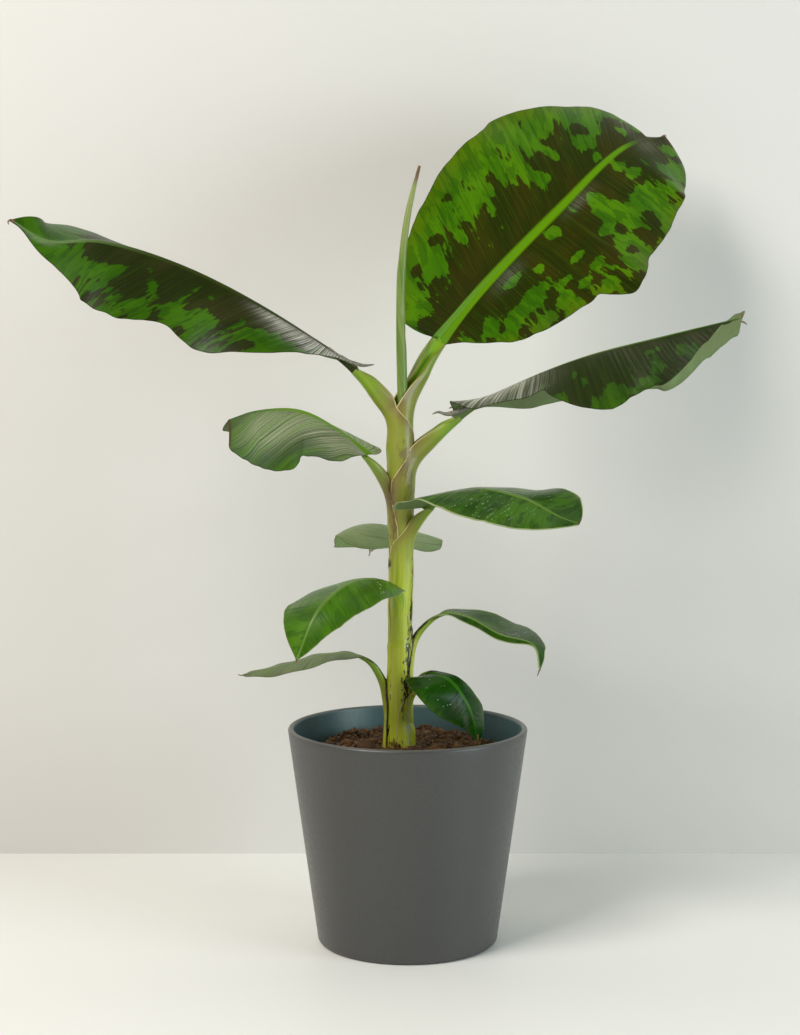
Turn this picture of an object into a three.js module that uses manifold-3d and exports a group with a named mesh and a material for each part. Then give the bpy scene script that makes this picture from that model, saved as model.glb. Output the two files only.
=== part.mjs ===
// Banana plant in a round pot, in millimetres with Z up.
// The origin is the centre of the pot's flat underside. The plant is seen from -Y, with +X to the right.
// The false trunk is the rolled bundle of the leaf sheaths. Each leaf leaves it as a tapering stalk,
// runs on as a midrib, and spreads into one thin blade with a left and a right half.
import * as THREE from 'three';
import { mergeVertices } from 'three/addons/utils/BufferGeometryUtils.js';
import Module from 'manifold-3d';

const wasm = await Module();
wasm.setup();

// Running clearance between neighbours.
const GAP = 0.3;

// Pot: outer radii, height, wall and roundings.
const POT_RIM_RADIUS = 125;
const POT_FOOT_RADIUS = 94;
const POT_HEIGHT = 227;
const POT_WALL = 6.3;
const POT_FLOOR = 8;
const POT_FOOT_ROUND = 5;
const POT_SIDES = 48;
// Turns, in degrees, at which the roundings of the foot and the lip have a point.
const POT_FOOT_TURNS = [-90, -45, 0];
const POT_LIP_TURNS = [0, 60, 120, 180];

// Root ball: it stands on the pot's floor, clear of the wall.
const SOIL_TOP_RADIUS = 97;
const SOIL_FOOT_RADIUS = 82;
const SOIL_TOP = 205;
const SOIL_SHOULDER = 7;
const SOIL_SIDES = 36;
// Where its lumpy rings lie, from the flat patch to the rim, and the height and waves of the lumps.
const SOIL_RINGS = [0.14, 0.35, 0.56, 0.77, 0.94];
const SOIL_LUMP = 3;
const SOIL_WIDE_WAVE = [9, 11];
const SOIL_FINE_WAVE = [5, 7];
const SOIL_FINE_SHARE = 0.6;

// False trunk: its foot stands on a flat patch of the root ball.
const STEM_FOOT = 200;
const STEM_PATCH_RADIUS = 20;
const STEM_SIDES = 24;
const STEM_RINGS = 26;
// Height, shift along X and radius of the trunk at a few stations.
const STEM_STATIONS = [
  [STEM_FOOT, -9.5, 17.6],
  [247, -8.4, 15.7],
  [285, -8.4, 13.9],
  [325, -8.2, 13.1],
  [380, -7.3, 13.0],
  [433, -6.9, 13.7],
  [480, -7.2, 14.6],
  [520, -7.5, 14.6],
  [550, -7.0, 12.4],
  [568, -6.5, 8.0],
  [583, -6.0, 5.6],
];

// Rolled new leaf that stands in the middle: its line and its radius from foot to dry tip.
const ROLLED_LINE = [[-6, 0, 583.8], [-7, -4, 640], [-6, -6, 705], [0, -6, 757], [12, -6, 805]];
const ROLLED_RADII = [5.3, 4.9, 4.2, 3.2, 1.2];
const ROLLED_RINGS = 14;
const ROLLED_SIDES = 10;

// Leaves from the top down. line runs from inside the trunk, up the stalk and along the midrib to
// the tip. neck is the height where the stalk leaves the trunk, stalk its length up to the blade,
// radii its half width at the foot, the neck and the blade. face is where the upper side looks at
// the blade's foot and tip. A half has its widest reach, where along the blade that is, how full
// it is towards foot and tip, the angles its surface lifts and curls by (foot, middle, tip), how
// far its margin sweeps towards the tip, and a ripple (height, count, phase).
const LEAVES = {
  leaf_1: {
    line: [
      [-5, 0, 500], [0, 5, 545], [15, 18, 599], [62, 51, 664],
      [166, 125, 772], [245, 200, 845], [296, 250, 861],
    ],
    neck: 592,
    stalk: 142,
    radii: [11, 10, 8],
    face: [[0.35, -0.8, 0.5], [0.3, -0.8, 0.6]],
    left: {
      reach: 118, peak: 0.6, foot: 0.52, tip: 1.5,
      lift: [8, 4, 0], curl: [0, -10, -20], sweep: [-0.5, 0.14],
    },
    right: {
      reach: 106, peak: 0.64, foot: 0.6, tip: 0.38,
      lift: [8, 4, 0], curl: [0, -10, -20], sweep: [-0.2, 0.22],
      ripple: [6, 2.5, 0.1],
    },
  },
  leaf_2: {
    line: [
      [-7, 0, 480], [-9, 0, 526], [-37, -4, 583], [-110, -8, 640],
      [-222, -12, 701], [-310, -20, 728], [-365, -26, 728], [-401, -28, 749],
    ],
    neck: 578,
    stalk: 133,
    radii: [12.5, 9.8, 7.6],
    face: [[0, -0.1, 1], [0, -0.2, 1]],
    left: {
      reach: 81, peak: 0.58, foot: 1.1, tip: 1.9,
      lift: [8, -48, -22], curl: [0, -20, -10], sweep: [-0.4, 0.4],
      ripple: [6, 2.9, 0.47],
    },
    right: {
      reach: 88, peak: 0.58, foot: 0.6, tip: 1.1,
      lift: [5, -20, 60], curl: [-10, -20, -10], sweep: [-0.3, 0.4],
    },
  },
  leaf_3: {
    line: [
      [-5, 0, 450], [-3, 0, 478], [12, 1, 511], [49, 5, 548],
      [100, 8, 578], [178, 5, 610], [270, -2, 634], [341, -10, 651],
    ],
    neck: 531,
    stalk: 121,
    radii: [12.5, 8.2, 6.6],
    face: [[0, -0.1, 1], [0, -0.2, 1]],
    left: {
      reach: 72, peak: 0.45, foot: 0.5, tip: 1,
      lift: [0, -38, -35], curl: [-10, -20, -10], sweep: [-0.3, 0.4],
    },
    right: {
      reach: 61, peak: 0.58, foot: 0.5, tip: 1.25,
      lift: [60, -44, -48], curl: [0, 10, 60], sweep: [-1.4, 0.4],
      ripple: [5, 3, 0.92],
    },
  },
  leaf_4: {
    line: [
      [-8, 0, 415], [-12, -2, 450], [-27, -11, 490], [-59, -29, 528],
      [-105, -65, 558], [-148, -97, 556], [-175, -118, 540],
    ],
    neck: 494,
    stalk: 108,
    radii: [12, 6.4, 5],
    face: [[0.2, -0.2, 1], [-0.2, -0.3, 1]],
    left: {
      reach: 60, peak: 0.74, foot: 1, tip: 0.14,
      lift: [0, -43, -60], curl: [-10, -30, -10], sweep: [-0.4, 0],
      ripple: [4, 2.2, 0],
    },
    right: {
      reach: 64, peak: 0.5, foot: 0.4, tip: 0.5,
      lift: [5, -18, -30], curl: [-10, -20, -10], sweep: [-0.9, 0.2],
    },
  },
  leaf_5: {
    line: [
      [-7, 0, 378], [-3, -5, 417], [17, -18, 453], [56, -44, 478],
      [112, -85, 473], [150, -115, 455], [166, -125, 450],
    ],
    neck: 449,
    stalk: 92,
    radii: [12, 6.8, 5.4],
    face: [[0, -0.2, 1], [0, -0.2, 1]],
    left: {
      reach: 54, peak: 0.65, foot: 0.4, tip: 0.5,
      lift: [0, -2, 25], curl: [-10, -20, 10], sweep: [-0.3, -0.1],
    },
    right: {
      reach: 44, peak: 0.5, foot: 0.35, tip: 0.5,
      lift: [60, -12, 5], curl: [0, -20, -10], sweep: [-1.5, 0.3],
    },
  },
  leaf_6: {
    line: [
      [-7, 2, 330], [-7, 8, 369], [-6, 32, 405], [-10, 75, 425],
      [-22, 130, 418], [-40, 178, 392],
    ],
    neck: 398,
    stalk: 96,
    radii: [11.5, 6.4, 5],
    face: [[0, 0, 1], [0, 0.1, 1]],
    left: {
      reach: 74, peak: 0.42, foot: 0.4, tip: 1.3,
      lift: [10, 20, -20], curl: [-20, -60, -30], sweep: [-0.3, 0.3],
    },
    right: {
      reach: 56, peak: 0.4, foot: 0.4, tip: 1.8,
      lift: [-5, -8, -30], curl: [-10, -20, -10], sweep: [-0.3, 0.3],
    },
  },
  leaf_7: {
    line: [
      [-8, -1, 300], [-11, -12, 338], [-18, -29, 371], [-50, -62, 388],
      [-88, -115, 364], [-109, -130, 317],
    ],
    neck: 366,
    stalk: 80,
    radii: [12, 6.2, 5],
    face: [[-0.1, -0.3, 1], [-0.4, -0.9, 0.4]],
    left: {
      reach: 39, peak: 0.45, foot: 0.45, tip: 1,
      lift: [-5, -10, -10], curl: [-10, -20, -10], sweep: [-0.6, 0.3],
    },
    right: {
      reach: 40, peak: 0.65, foot: 0.8, tip: 1.1,
      lift: [0, -3, 0], curl: [-10, -20, -10], sweep: [-0.3, 0.1],
    },
  },
  leaf_8: {
    line: [
      [-16, -2, 215], [-22, -3, 245], [-27, -4, 276], [-44, -8, 300],
      [-80, -13, 304], [-125, -18, 294], [-170, -22, 284],
    ],
    neck: 281,
    stalk: 97,
    radii: [7, 4.6, 3.6],
    face: [[0, -0.05, 1], [0, -0.05, 1]],
    left: {
      reach: 30, peak: 0.45, foot: 0.5, tip: 0.8,
      lift: [5, 0, 0], curl: [0, -10, -10], sweep: [-0.3, 0.4],
    },
    right: {
      reach: 32, peak: 0.45, foot: 0.5, tip: 0.8,
      lift: [-5, -3, 0], curl: [0, -10, -10], sweep: [-0.3, 0.4],
    },
  },
  leaf_9: {
    line: [
      [-1, 2, 262], [4, 2, 292], [10, 3, 321], [34, -4, 345],
      [60, -13, 344], [95, -28, 327], [129, -38, 317], [135, -41, 292],
    ],
    neck: 327,
    stalk: 96,
    radii: [5, 3.6, 3.1],
    face: [[0, -0.2, 1], [0.2, -0.3, 1]],
    left: {
      reach: 40, peak: 0.55, foot: 0.5, tip: 0.8,
      lift: [0, 0, 0], curl: [0, -10, -10], sweep: [-0.3, 0.3],
    },
    right: {
      reach: 17, peak: 0.4, foot: 0.4, tip: 1.6,
      lift: [-10, -10, -20], curl: [0, -10, -10], sweep: [-0.3, 0.3],
    },
  },
  leaf_10: {
    line: [
      [-7, -2, 218], [0, -9, 250], [19, -23, 284], [43, -44, 282],
      [62, -50, 256], [71, -42, 219],
    ],
    neck: 274,
    stalk: 78,
    radii: [9, 5, 4],
    face: [[0.3, -0.8, 0.6], [0.5, -0.8, 0.3]],
    left: {
      reach: 17, peak: 0.55, foot: 0.5, tip: 0.5,
      lift: [-5, -10, -10], curl: [0, -20, -10], sweep: [-0.3, 0.2],
    },
    right: {
      reach: 41, peak: 0.46, foot: 0.45, tip: 1.1,
      lift: [0, -10, -10], curl: [0, -20, -10], sweep: [-1.1, 0.3],
    },
  },
};

// A blade is a hundredth of its length thick, and its grid has more rows the longer it is.
const BLADE_THICKNESS = 0.01;
const BLADE_ROW = 17;
const BLADE_LEAST_ROWS = 11;
const BLADE_STRIPS = 3;
// Rows are evenly spaced by this share, and otherwise crowd towards the foot and the tip.
const BLADE_EVENNESS = 0.4;
// A half is never narrower than its midrib and this margin, so that the tip stays a body.
const BLADE_MARGIN = 0.5;
// The margin sweeps on by this power of the distance out, and ripples fade where a half is
// narrower than this share of its reach.
const SWEEP_POWER = 1.2;
const RIPPLE_FADE = 0.35;
const LEAST_CURL = 0.001;

// Stalk: depth and channel of its section as shares of its half width, and its grid.
const STALK_DEPTH = 0.9;
const STALK_CHANNEL = 0.1;
const STALK_SIDES = 12;
const STALK_ROW = 11;
const NECK_STEP = 0.5;

// Midrib: its half width at the tip, what a straight taper adds, and what a flare adds at the foot,
// as shares of the stalk's end. It shows as a groove above and a keel below, with a shoulder between.
const RIB_TIP = 0.12;
const RIB_TAPER = 0.48;
const RIB_FLARE = 0.4;
const RIB_FLARE_POWER = 12;
const RIB_SHOULDER = 0.7;
const RIB_KEEL = 0.9;
const RIB_LEAST_KEEL = 0.2;
const RIB_GROOVE = 0.1;

const POT_COLOUR = 0x3d4043;
const SOIL_COLOUR = 0x4a2f22;
const STEM_COLOUR = 0x9aa84a;
const STALK_COLOUR = 0x8db04a;
const LEAF_COLOUR = 0x2f6b2c;

function mix(a, b, t) {
  return a + (b - a) * t;
}

function smooth(t) {
  const s = Math.min(Math.max(t, 0), 1);
  return s * s * (3 - 2 * s);
}

// Value that runs through three settings at the foot, the middle and the tip.
function throughThree(u, [foot, middle, tip]) {
  return foot * (1 - u) * (1 - 2 * u) + middle * 4 * u * (1 - u) + tip * u * (2 * u - 1);
}

// Smooth line through points, with even steps of arc length.
function lineThrough(points) {
  const curve = new THREE.CatmullRomCurve3(points.map((p) => new THREE.Vector3(...p)), false, 'centripetal');
  curve.arcLengthDivisions = 2000;
  return { curve, length: curve.getLength() };
}

// Closed body over a row of sections. A section goes round from its left end over the top to its
// right end and back underneath, so that point i lies over point n - 1 - i, and both ends are
// closed by rungs between such pairs.
function loft(sections) {
  const count = sections[0].length;
  const last = (sections.length - 1) * count;
  const positions = [];
  for (const section of sections) {
    for (const point of section) {
      positions.push(point.x, point.y, point.z);
    }
  }
  const faces = [];
  for (let row = 0; row < sections.length - 1; row += 1) {
    for (let i = 0; i < count; i += 1) {
      const a = row * count + i;
      const b = row * count + (i + 1) % count;
      faces.push(a, b, b + count, a, b + count, a + count);
    }
  }
  for (let i = 0; i < count / 2 - 1; i += 1) {
    const [a, b, c, d] = [i, i + 1, count - 2 - i, count - 1 - i];
    faces.push(a, c, b, a, d, c);
    faces.push(last + a, last + b, last + c, last + a, last + c, last + d);
  }
  const geometry = new THREE.BufferGeometry();
  geometry.setAttribute('position', new THREE.Float32BufferAttribute(positions, 3));
  geometry.setIndex(faces);
  return geometry;
}

function solidOf(geometry) {
  const bare = geometry.clone();
  bare.deleteAttribute('normal');
  bare.deleteAttribute('uv');
  const merged = mergeVertices(bare);
  return new wasm.Manifold(new wasm.Mesh({
    numProp: 3,
    vertProperties: new Float32Array(merged.attributes.position.array),
    triVerts: new Uint32Array(merged.index.array),
  }));
}

function geometryOf(solid) {
  const mesh = solid.getMesh();
  const geometry = new THREE.BufferGeometry();
  geometry.setAttribute('position', new THREE.BufferAttribute(mesh.vertProperties, 3));
  geometry.setIndex(new THREE.BufferAttribute(mesh.triVerts, 1));
  return geometry;
}

function named(name, geometry, color, roughness) {
  geometry.computeVertexNormals();
  const mesh = new THREE.Mesh(geometry, new THREE.MeshStandardMaterial({ color, roughness, metalness: 0 }));
  mesh.name = name;
  return mesh;
}

// Line of a leaf with, at any distance along it, its place, its direction, the side that its
// channel and upper face look to, and the direction across to its right half.
function leafLine(leaf) {
  const { curve, length } = lineThrough(leaf.line);
  const faces = leaf.face.map((f) => new THREE.Vector3(...f).normalize());
  return {
    length,
    at(distance) {
      const part = Math.min(Math.max(distance / length, 0), 1);
      const along = curve.getTangentAt(part);
      const u = Math.max((distance - leaf.stalk) / (length - leaf.stalk), 0);
      const up = faces[0].clone().lerp(faces[1], u);
      up.addScaledVector(along, -up.dot(along)).normalize();
      return { place: curve.getPointAt(part), along, up, across: along.clone().cross(up) };
    },
  };
}

// Half width of the stalk: from the foot to the neck, where it leaves the trunk, to the blade.
function stalkRadius(leaf, neckAt, distance) {
  const [foot, neck, end] = leaf.radii;
  if (distance < neckAt) {
    return mix(foot, neck, smooth(distance / neckAt));
  }
  return mix(neck, end, (distance - neckAt) / (leaf.stalk - neckAt));
}

// Section of a stalk: round underneath, with a shallow channel between two rims on top.
function stalkSection({ place, up, across }, radius) {
  const points = [];
  for (let i = 0; i < STALK_SIDES; i += 1) {
    const angle = Math.PI - (i + 0.5) * 2 * Math.PI / STALK_SIDES;
    const [c, s] = [Math.cos(angle), Math.sin(angle)];
    const channel = STALK_DEPTH * s * Math.abs(c) - STALK_CHANNEL * s * s;
    const height = s < 0 ? STALK_DEPTH * s : channel;
    points.push(place.clone().addScaledVector(across, radius * c).addScaledVector(up, radius * height));
  }
  return points;
}

// Distance along a leaf's line where it reaches a height.
function distanceAtHeight(line, height) {
  let distance = 0;
  while (line.at(distance).place.z < height) {
    distance += NECK_STEP;
  }
  return distance;
}

function stalkBetween(leaf, line, neckAt, start, end) {
  const rows = Math.max(Math.round((end - start) / STALK_ROW), 3);
  const sections = [];
  for (let row = 0; row <= rows; row += 1) {
    const distance = mix(start, end, row / rows);
    sections.push(stalkSection(line.at(distance), stalkRadius(leaf, neckAt, distance)));
  }
  return loft(sections);
}

// Half width of a blade's half at u, from nothing at the foot through its peak to nothing at the tip.
function halfWidth(half, u) {
  const up = Math.min(u / half.peak, 1);
  const down = Math.max((u - half.peak) / (1 - half.peak), 0);
  return half.reach * (1 - (1 - up) ** 2) ** half.foot * (1 - down ** 2) ** half.tip;
}

// Half width of the midrib: it loses most of the stalk's width in the first tenth of the blade.
function ribRadius(leaf, u) {
  return leaf.radii[2] * (RIB_TIP + RIB_TAPER * (1 - u) + RIB_FLARE * (1 - u) ** RIB_FLARE_POWER);
}

// Point of a half's surface at u along the blade and at a distance out from the midline.
function halfPoint(half, sign, { place, along, up, across }, u, rib, distance) {
  const width = halfWidth(half, u);
  const whole = Math.hypot(width, rib);
  const v = distance / whole;
  const lift = THREE.MathUtils.degToRad(throughThree(u, half.lift));
  const turn = THREE.MathUtils.degToRad(throughThree(u, half.curl));
  const curl = Math.abs(turn) < LEAST_CURL ? LEAST_CURL : turn;
  const outward = whole * (Math.sin(lift + curl * v) - Math.sin(lift)) / curl;
  let upward = whole * (Math.cos(lift) - Math.cos(lift + curl * v)) / curl;
  if (half.ripple) {
    const [height, count, phase] = half.ripple;
    const fade = Math.min(1, width / (RIPPLE_FADE * half.reach));
    upward += height * Math.sin(2 * Math.PI * (count * u + phase)) * v * v * fade;
  }
  const forward = width * mix(half.sweep[0], half.sweep[1], u) * v ** SWEEP_POWER;
  return place.clone()
    .addScaledVector(across, sign * outward)
    .addScaledVector(up, upward)
    .addScaledVector(along, forward);
}

// Distances out from the midline of the grid's columns: over the midrib, then over the strips.
function columns(whole, rib) {
  const out = [0, RIB_SHOULDER * rib, rib];
  for (let i = 1; i <= BLADE_STRIPS; i += 1) {
    out.push(mix(rib, whole, i / BLADE_STRIPS));
  }
  return out;
}

// Middle surface of a blade as rows of points, with each point's distance from the midline.
function bladeGrid(leaf, line) {
  const length = line.length - leaf.stalk;
  const rows = Math.max(Math.round(length / BLADE_ROW), BLADE_LEAST_ROWS);
  const grid = [];
  for (let row = 0; row <= rows; row += 1) {
    const t = row / rows;
    const u = mix((1 - Math.cos(Math.PI * t)) / 2, t, BLADE_EVENNESS);
    const spot = line.at(mix(leaf.stalk + GAP, line.length, u));
    const rib = ribRadius(leaf, u);
    const points = [];
    for (const [half, sign] of [[leaf.left, -1], [leaf.right, 1]]) {
      const whole = Math.max(Math.hypot(halfWidth(half, u), rib), rib + BLADE_MARGIN);
      const side = columns(whole, rib).map((distance) => ({
        point: halfPoint(half, sign, spot, u, rib, distance),
        ridge: Math.sqrt(Math.max(0, 1 - (distance / rib) ** 2)),
        rib,
      }));
      if (sign < 0) {
        points.push(...side.slice(1).reverse());
      } else {
        points.push(...side);
      }
    }
    grid.push(points);
  }
  return grid;
}

// Blade as one thin closed body: flat-channelled above the midrib and ridged under it.
function bladeGeometry(leaf, line) {
  const grid = bladeGrid(leaf, line);
  const half = BLADE_THICKNESS * (line.length - leaf.stalk) / 2;
  const start = line.at(leaf.stalk).along;
  const pick = (row, column) => {
    const r = Math.min(Math.max(row, 0), grid.length - 1);
    const c = Math.min(Math.max(column, 0), grid[0].length - 1);
    return grid[r][c].point;
  };
  const sections = grid.map((points, row) => {
    const above = [];
    const below = [];
    points.forEach(({ point, ridge, rib }, column) => {
      const sideways = pick(row, column + 1).clone().sub(pick(row, column - 1));
      const onward = row === 0 ? start : pick(row + 1, column).clone().sub(pick(row - 1, column));
      const normal = sideways.cross(onward).normalize();
      const depth = Math.max(RIB_KEEL * rib - half, RIB_LEAST_KEEL * half) * ridge;
      above.push(point.clone().addScaledVector(normal, half - RIB_GROOVE * rib * ridge));
      below.push(point.clone().addScaledVector(normal, -half - depth));
    });
    return [...above, ...below.reverse()];
  });
  return loft(sections);
}

// Trunk: rings at even heights through the stations, square across the Z axis.
function trunkGeometry() {
  const { curve } = lineThrough(STEM_STATIONS.map(([z, x, r]) => [x, r, z]));
  const sections = [];
  for (let ring = 0; ring <= STEM_RINGS; ring += 1) {
    const spot = curve.getPointAt(ring / STEM_RINGS);
    const points = [];
    for (let i = 0; i < STEM_SIDES; i += 1) {
      const angle = Math.PI - (i + 0.5) * 2 * Math.PI / STEM_SIDES;
      points.push(new THREE.Vector3(spot.x + spot.y * Math.cos(angle), -spot.y * Math.sin(angle), spot.z));
    }
    sections.push(points);
  }
  return loft(sections);
}

// Rolled leaf: round rings square across its line.
function rolledGeometry() {
  const { curve } = lineThrough(ROLLED_LINE);
  const sections = [];
  for (let ring = 0; ring <= ROLLED_RINGS; ring += 1) {
    const part = ring / ROLLED_RINGS;
    const place = curve.getPointAt(part);
    const along = curve.getTangentAt(part);
    const up = new THREE.Vector3(0, -1, 0).addScaledVector(along, along.y).normalize();
    const across = along.clone().cross(up);
    const spot = part * (ROLLED_RADII.length - 1);
    const low = Math.min(Math.floor(spot), ROLLED_RADII.length - 2);
    const radius = mix(ROLLED_RADII[low], ROLLED_RADII[low + 1], spot - low);
    const points = [];
    for (let i = 0; i < ROLLED_SIDES; i += 1) {
      const angle = Math.PI - (i + 0.5) * 2 * Math.PI / ROLLED_SIDES;
      points.push(place.clone()
        .addScaledVector(across, radius * Math.cos(angle))
        .addScaledVector(up, radius * Math.sin(angle)));
    }
    sections.push(points);
  }
  return loft(sections);
}

// Pot: one turned wall and floor, with a rounded foot and a rounded lip.
function potGeometry() {
  const slope = (POT_RIM_RADIUS - POT_FOOT_RADIUS) / POT_HEIGHT;
  const outer = (z) => POT_FOOT_RADIUS + slope * z;
  const lip = POT_WALL / 2;
  const profile = [new THREE.Vector2(0, 0)];
  for (const turn of POT_FOOT_TURNS) {
    const angle = THREE.MathUtils.degToRad(turn);
    profile.push(new THREE.Vector2(
      outer(POT_FOOT_ROUND) - POT_FOOT_ROUND + POT_FOOT_ROUND * Math.cos(angle),
      POT_FOOT_ROUND + POT_FOOT_ROUND * Math.sin(angle),
    ));
  }
  for (const turn of POT_LIP_TURNS) {
    const angle = THREE.MathUtils.degToRad(turn);
    profile.push(new THREE.Vector2(
      POT_RIM_RADIUS - lip + lip * Math.cos(angle),
      POT_HEIGHT - lip + lip * Math.sin(angle),
    ));
  }
  profile.push(new THREE.Vector2(outer(POT_FLOOR) - POT_WALL, POT_FLOOR));
  profile.push(new THREE.Vector2(0, POT_FLOOR));
  const geometry = new THREE.LatheGeometry(profile, POT_SIDES);
  geometry.rotateX(Math.PI / 2);
  return geometry;
}

// Root ball: a tapered plug with a lumpy top and a flat patch under the trunk.
function soilGeometry() {
  const patch = STEM_STATIONS[0][1];
  const foot = POT_FLOOR + GAP;
  const lump = (x, y) => {
    const wide = Math.sin(x / SOIL_WIDE_WAVE[0] + 1) * Math.cos(y / SOIL_WIDE_WAVE[1]);
    const fine = Math.sin(x / SOIL_FINE_WAVE[0] - y / SOIL_FINE_WAVE[1]);
    return SOIL_LUMP * (wide + SOIL_FINE_SHARE * fine);
  };
  const ring = (part, height, lumpy) => {
    const points = [];
    for (let i = 0; i < SOIL_SIDES; i += 1) {
      const angle = i * 2 * Math.PI / SOIL_SIDES;
      const radius = mix(STEM_PATCH_RADIUS, SOIL_TOP_RADIUS, part);
      const x = mix(patch, 0, part) + radius * Math.cos(angle);
      const y = radius * Math.sin(angle);
      points.push([x, y, height + (lumpy ? lump(x, y) : 0)]);
    }
    return points;
  };
  const rings = [ring(0, STEM_FOOT - GAP, false)];
  for (const part of SOIL_RINGS) {
    rings.push(ring(part, SOIL_TOP, true));
  }
  rings.push(ring(1, SOIL_TOP - SOIL_SHOULDER, false));
  rings.push(rings[0].map((_, i) => {
    const angle = i * 2 * Math.PI / SOIL_SIDES;
    return [SOIL_FOOT_RADIUS * Math.cos(angle), SOIL_FOOT_RADIUS * Math.sin(angle), foot];
  }));
  const positions = rings.flat();
  const top = positions.push([patch, 0, STEM_FOOT - GAP]) - 1;
  const bottom = positions.push([0, 0, foot]) - 1;
  const faces = [];
  const outermost = (rings.length - 1) * SOIL_SIDES;
  for (let i = 0; i < SOIL_SIDES; i += 1) {
    const next = (i + 1) % SOIL_SIDES;
    faces.push(top, i, next, bottom, outermost + next, outermost + i);
    for (let row = 0; row < rings.length - 1; row += 1) {
      const [a, b] = [row * SOIL_SIDES + i, row * SOIL_SIDES + next];
      faces.push(a, a + SOIL_SIDES, b + SOIL_SIDES, a, b + SOIL_SIDES, b);
    }
  }
  const geometry = new THREE.BufferGeometry();
  geometry.setAttribute('position', new THREE.Float32BufferAttribute(positions.flat(), 3));
  geometry.setIndex(faces);
  return geometry;
}

const plant = new THREE.Group();
plant.add(named('pot', potGeometry(), POT_COLOUR, 0.75));
plant.add(named('root_ball', soilGeometry(), SOIL_COLOUR, 1));

let trunk = solidOf(trunkGeometry());
const limbs = [];
for (const [name, leaf] of Object.entries(LEAVES)) {
  const line = leafLine(leaf);
  const neckAt = distanceAtHeight(line, leaf.neck);
  trunk = trunk.add(solidOf(stalkBetween(leaf, line, neckAt, 0, neckAt)));
  const stalk = stalkBetween(leaf, line, neckAt, neckAt + GAP, leaf.stalk);
  limbs.push(named(name.replace('leaf', 'stalk'), stalk, STALK_COLOUR, 0.5));
  limbs.push(named(name, bladeGeometry(leaf, line), LEAF_COLOUR, 0.45));
}
plant.add(named('trunk', geometryOf(trunk), STEM_COLOUR, 0.5));
plant.add(named('rolled_leaf', rolledGeometry(), STALK_COLOUR, 0.5));
plant.add(...limbs);

export default plant;
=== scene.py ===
import bpy
import numpy as np
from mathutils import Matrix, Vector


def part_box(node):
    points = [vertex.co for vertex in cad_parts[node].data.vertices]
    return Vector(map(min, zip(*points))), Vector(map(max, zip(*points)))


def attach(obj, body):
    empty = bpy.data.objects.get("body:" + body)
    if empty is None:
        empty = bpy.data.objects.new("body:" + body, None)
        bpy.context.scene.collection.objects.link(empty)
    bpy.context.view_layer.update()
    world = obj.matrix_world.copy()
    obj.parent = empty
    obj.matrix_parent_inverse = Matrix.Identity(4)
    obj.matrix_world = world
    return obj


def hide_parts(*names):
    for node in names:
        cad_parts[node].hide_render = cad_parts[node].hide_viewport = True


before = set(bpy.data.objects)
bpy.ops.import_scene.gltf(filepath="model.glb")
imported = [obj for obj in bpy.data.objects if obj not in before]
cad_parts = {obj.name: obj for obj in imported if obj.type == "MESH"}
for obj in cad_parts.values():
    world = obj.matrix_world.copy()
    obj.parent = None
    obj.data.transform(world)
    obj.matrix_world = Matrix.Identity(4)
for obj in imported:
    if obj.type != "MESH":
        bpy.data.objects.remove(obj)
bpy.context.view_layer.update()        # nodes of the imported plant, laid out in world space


# Pot. A round tapered planter, moulded in one piece from a mineral-filled composite: matt
# anthracite with a fine speckle, a shade bluer inside. The foot and the lip are rounded, and the
# pot stands on its flat underside.
MM = 0.001               # every shape is worked out in millimetres, and make_piece turns it into metres
POT_SIDES = 192
POT_FOOT_ROUND = 5
POT_WALL = 6.3
POT_FLOOR = 8
POT_FOOT_RADIUS = 94
POT_INNER_ROUND = 7
POT_WALL_ROWS = 30


def unit(vectors):
    """Each vector divided by its own length."""
    return vectors / np.maximum(np.linalg.norm(vectors, axis=-1, keepdims=True), 1e-12)


def signed_volume(points, faces):
    """A sixth of the sum of a . (b x c) over the triangles of each face's fan."""
    total = 0.0
    for k in range(1, faces.shape[1] - 1):
        a, b, c = points[faces[:, 0]], points[faces[:, k]], points[faces[:, k + 1]]
        total += np.einsum("ij,ij->", a, np.cross(b, c)) / 6
    return total


def make_piece(name, points, face_sets, material, slot, replaced=(), values=None, uv=None):
    """Puts points, in millimetres, and arrays of triangles or quads into a smooth mesh whose faces
    point outwards, with a number per point for each entry of values and a UV map if one is given."""
    points = points * MM
    if sum(signed_volume(points, faces) for faces in face_sets) < 0:
        face_sets = [faces[:, ::-1] for faces in face_sets]
    mesh = bpy.data.meshes.new(name)
    mesh.from_pydata(points.tolist(), [], [face for faces in face_sets for face in faces.tolist()])
    mesh.polygons.foreach_set("use_smooth", np.ones(len(mesh.polygons), bool))
    for key, numbers in (values or {}).items():
        layer = mesh.attributes.new(key, "FLOAT", "POINT")
        layer.data.foreach_set("value", numbers.astype(np.float32).ravel())
    if uv is not None:
        corner = np.zeros(len(mesh.loops), np.int32)
        mesh.loops.foreach_get("vertex_index", corner)
        layer = mesh.uv_layers.new(name="along")
        layer.data.foreach_set("uv", uv[corner].astype(np.float32).ravel())
    mesh.materials.append(material)
    piece = bpy.data.objects.new(name, mesh)
    bpy.context.scene.collection.objects.link(piece)
    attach(piece, "root")
    if replaced:
        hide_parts(*replaced)
    return piece


def arc(centre, radius, start, end, steps):
    """Points on a circle round centre, from one angle to another in degrees."""
    turn = np.radians(np.linspace(start, end, steps))
    return np.stack([centre[0] + radius * np.cos(turn), centre[1] + radius * np.sin(turn)], 1)


def ring_quads(first, around):
    """Quads from each ring of points to the ring after it, given each ring's first number."""
    row, side = np.asarray(first)[:, None], np.arange(around)[None, :]
    after = (side + 1) % around
    return np.stack([row + side, row + after, row + around + after, row + around + side], -1).reshape(-1, 4)


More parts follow.
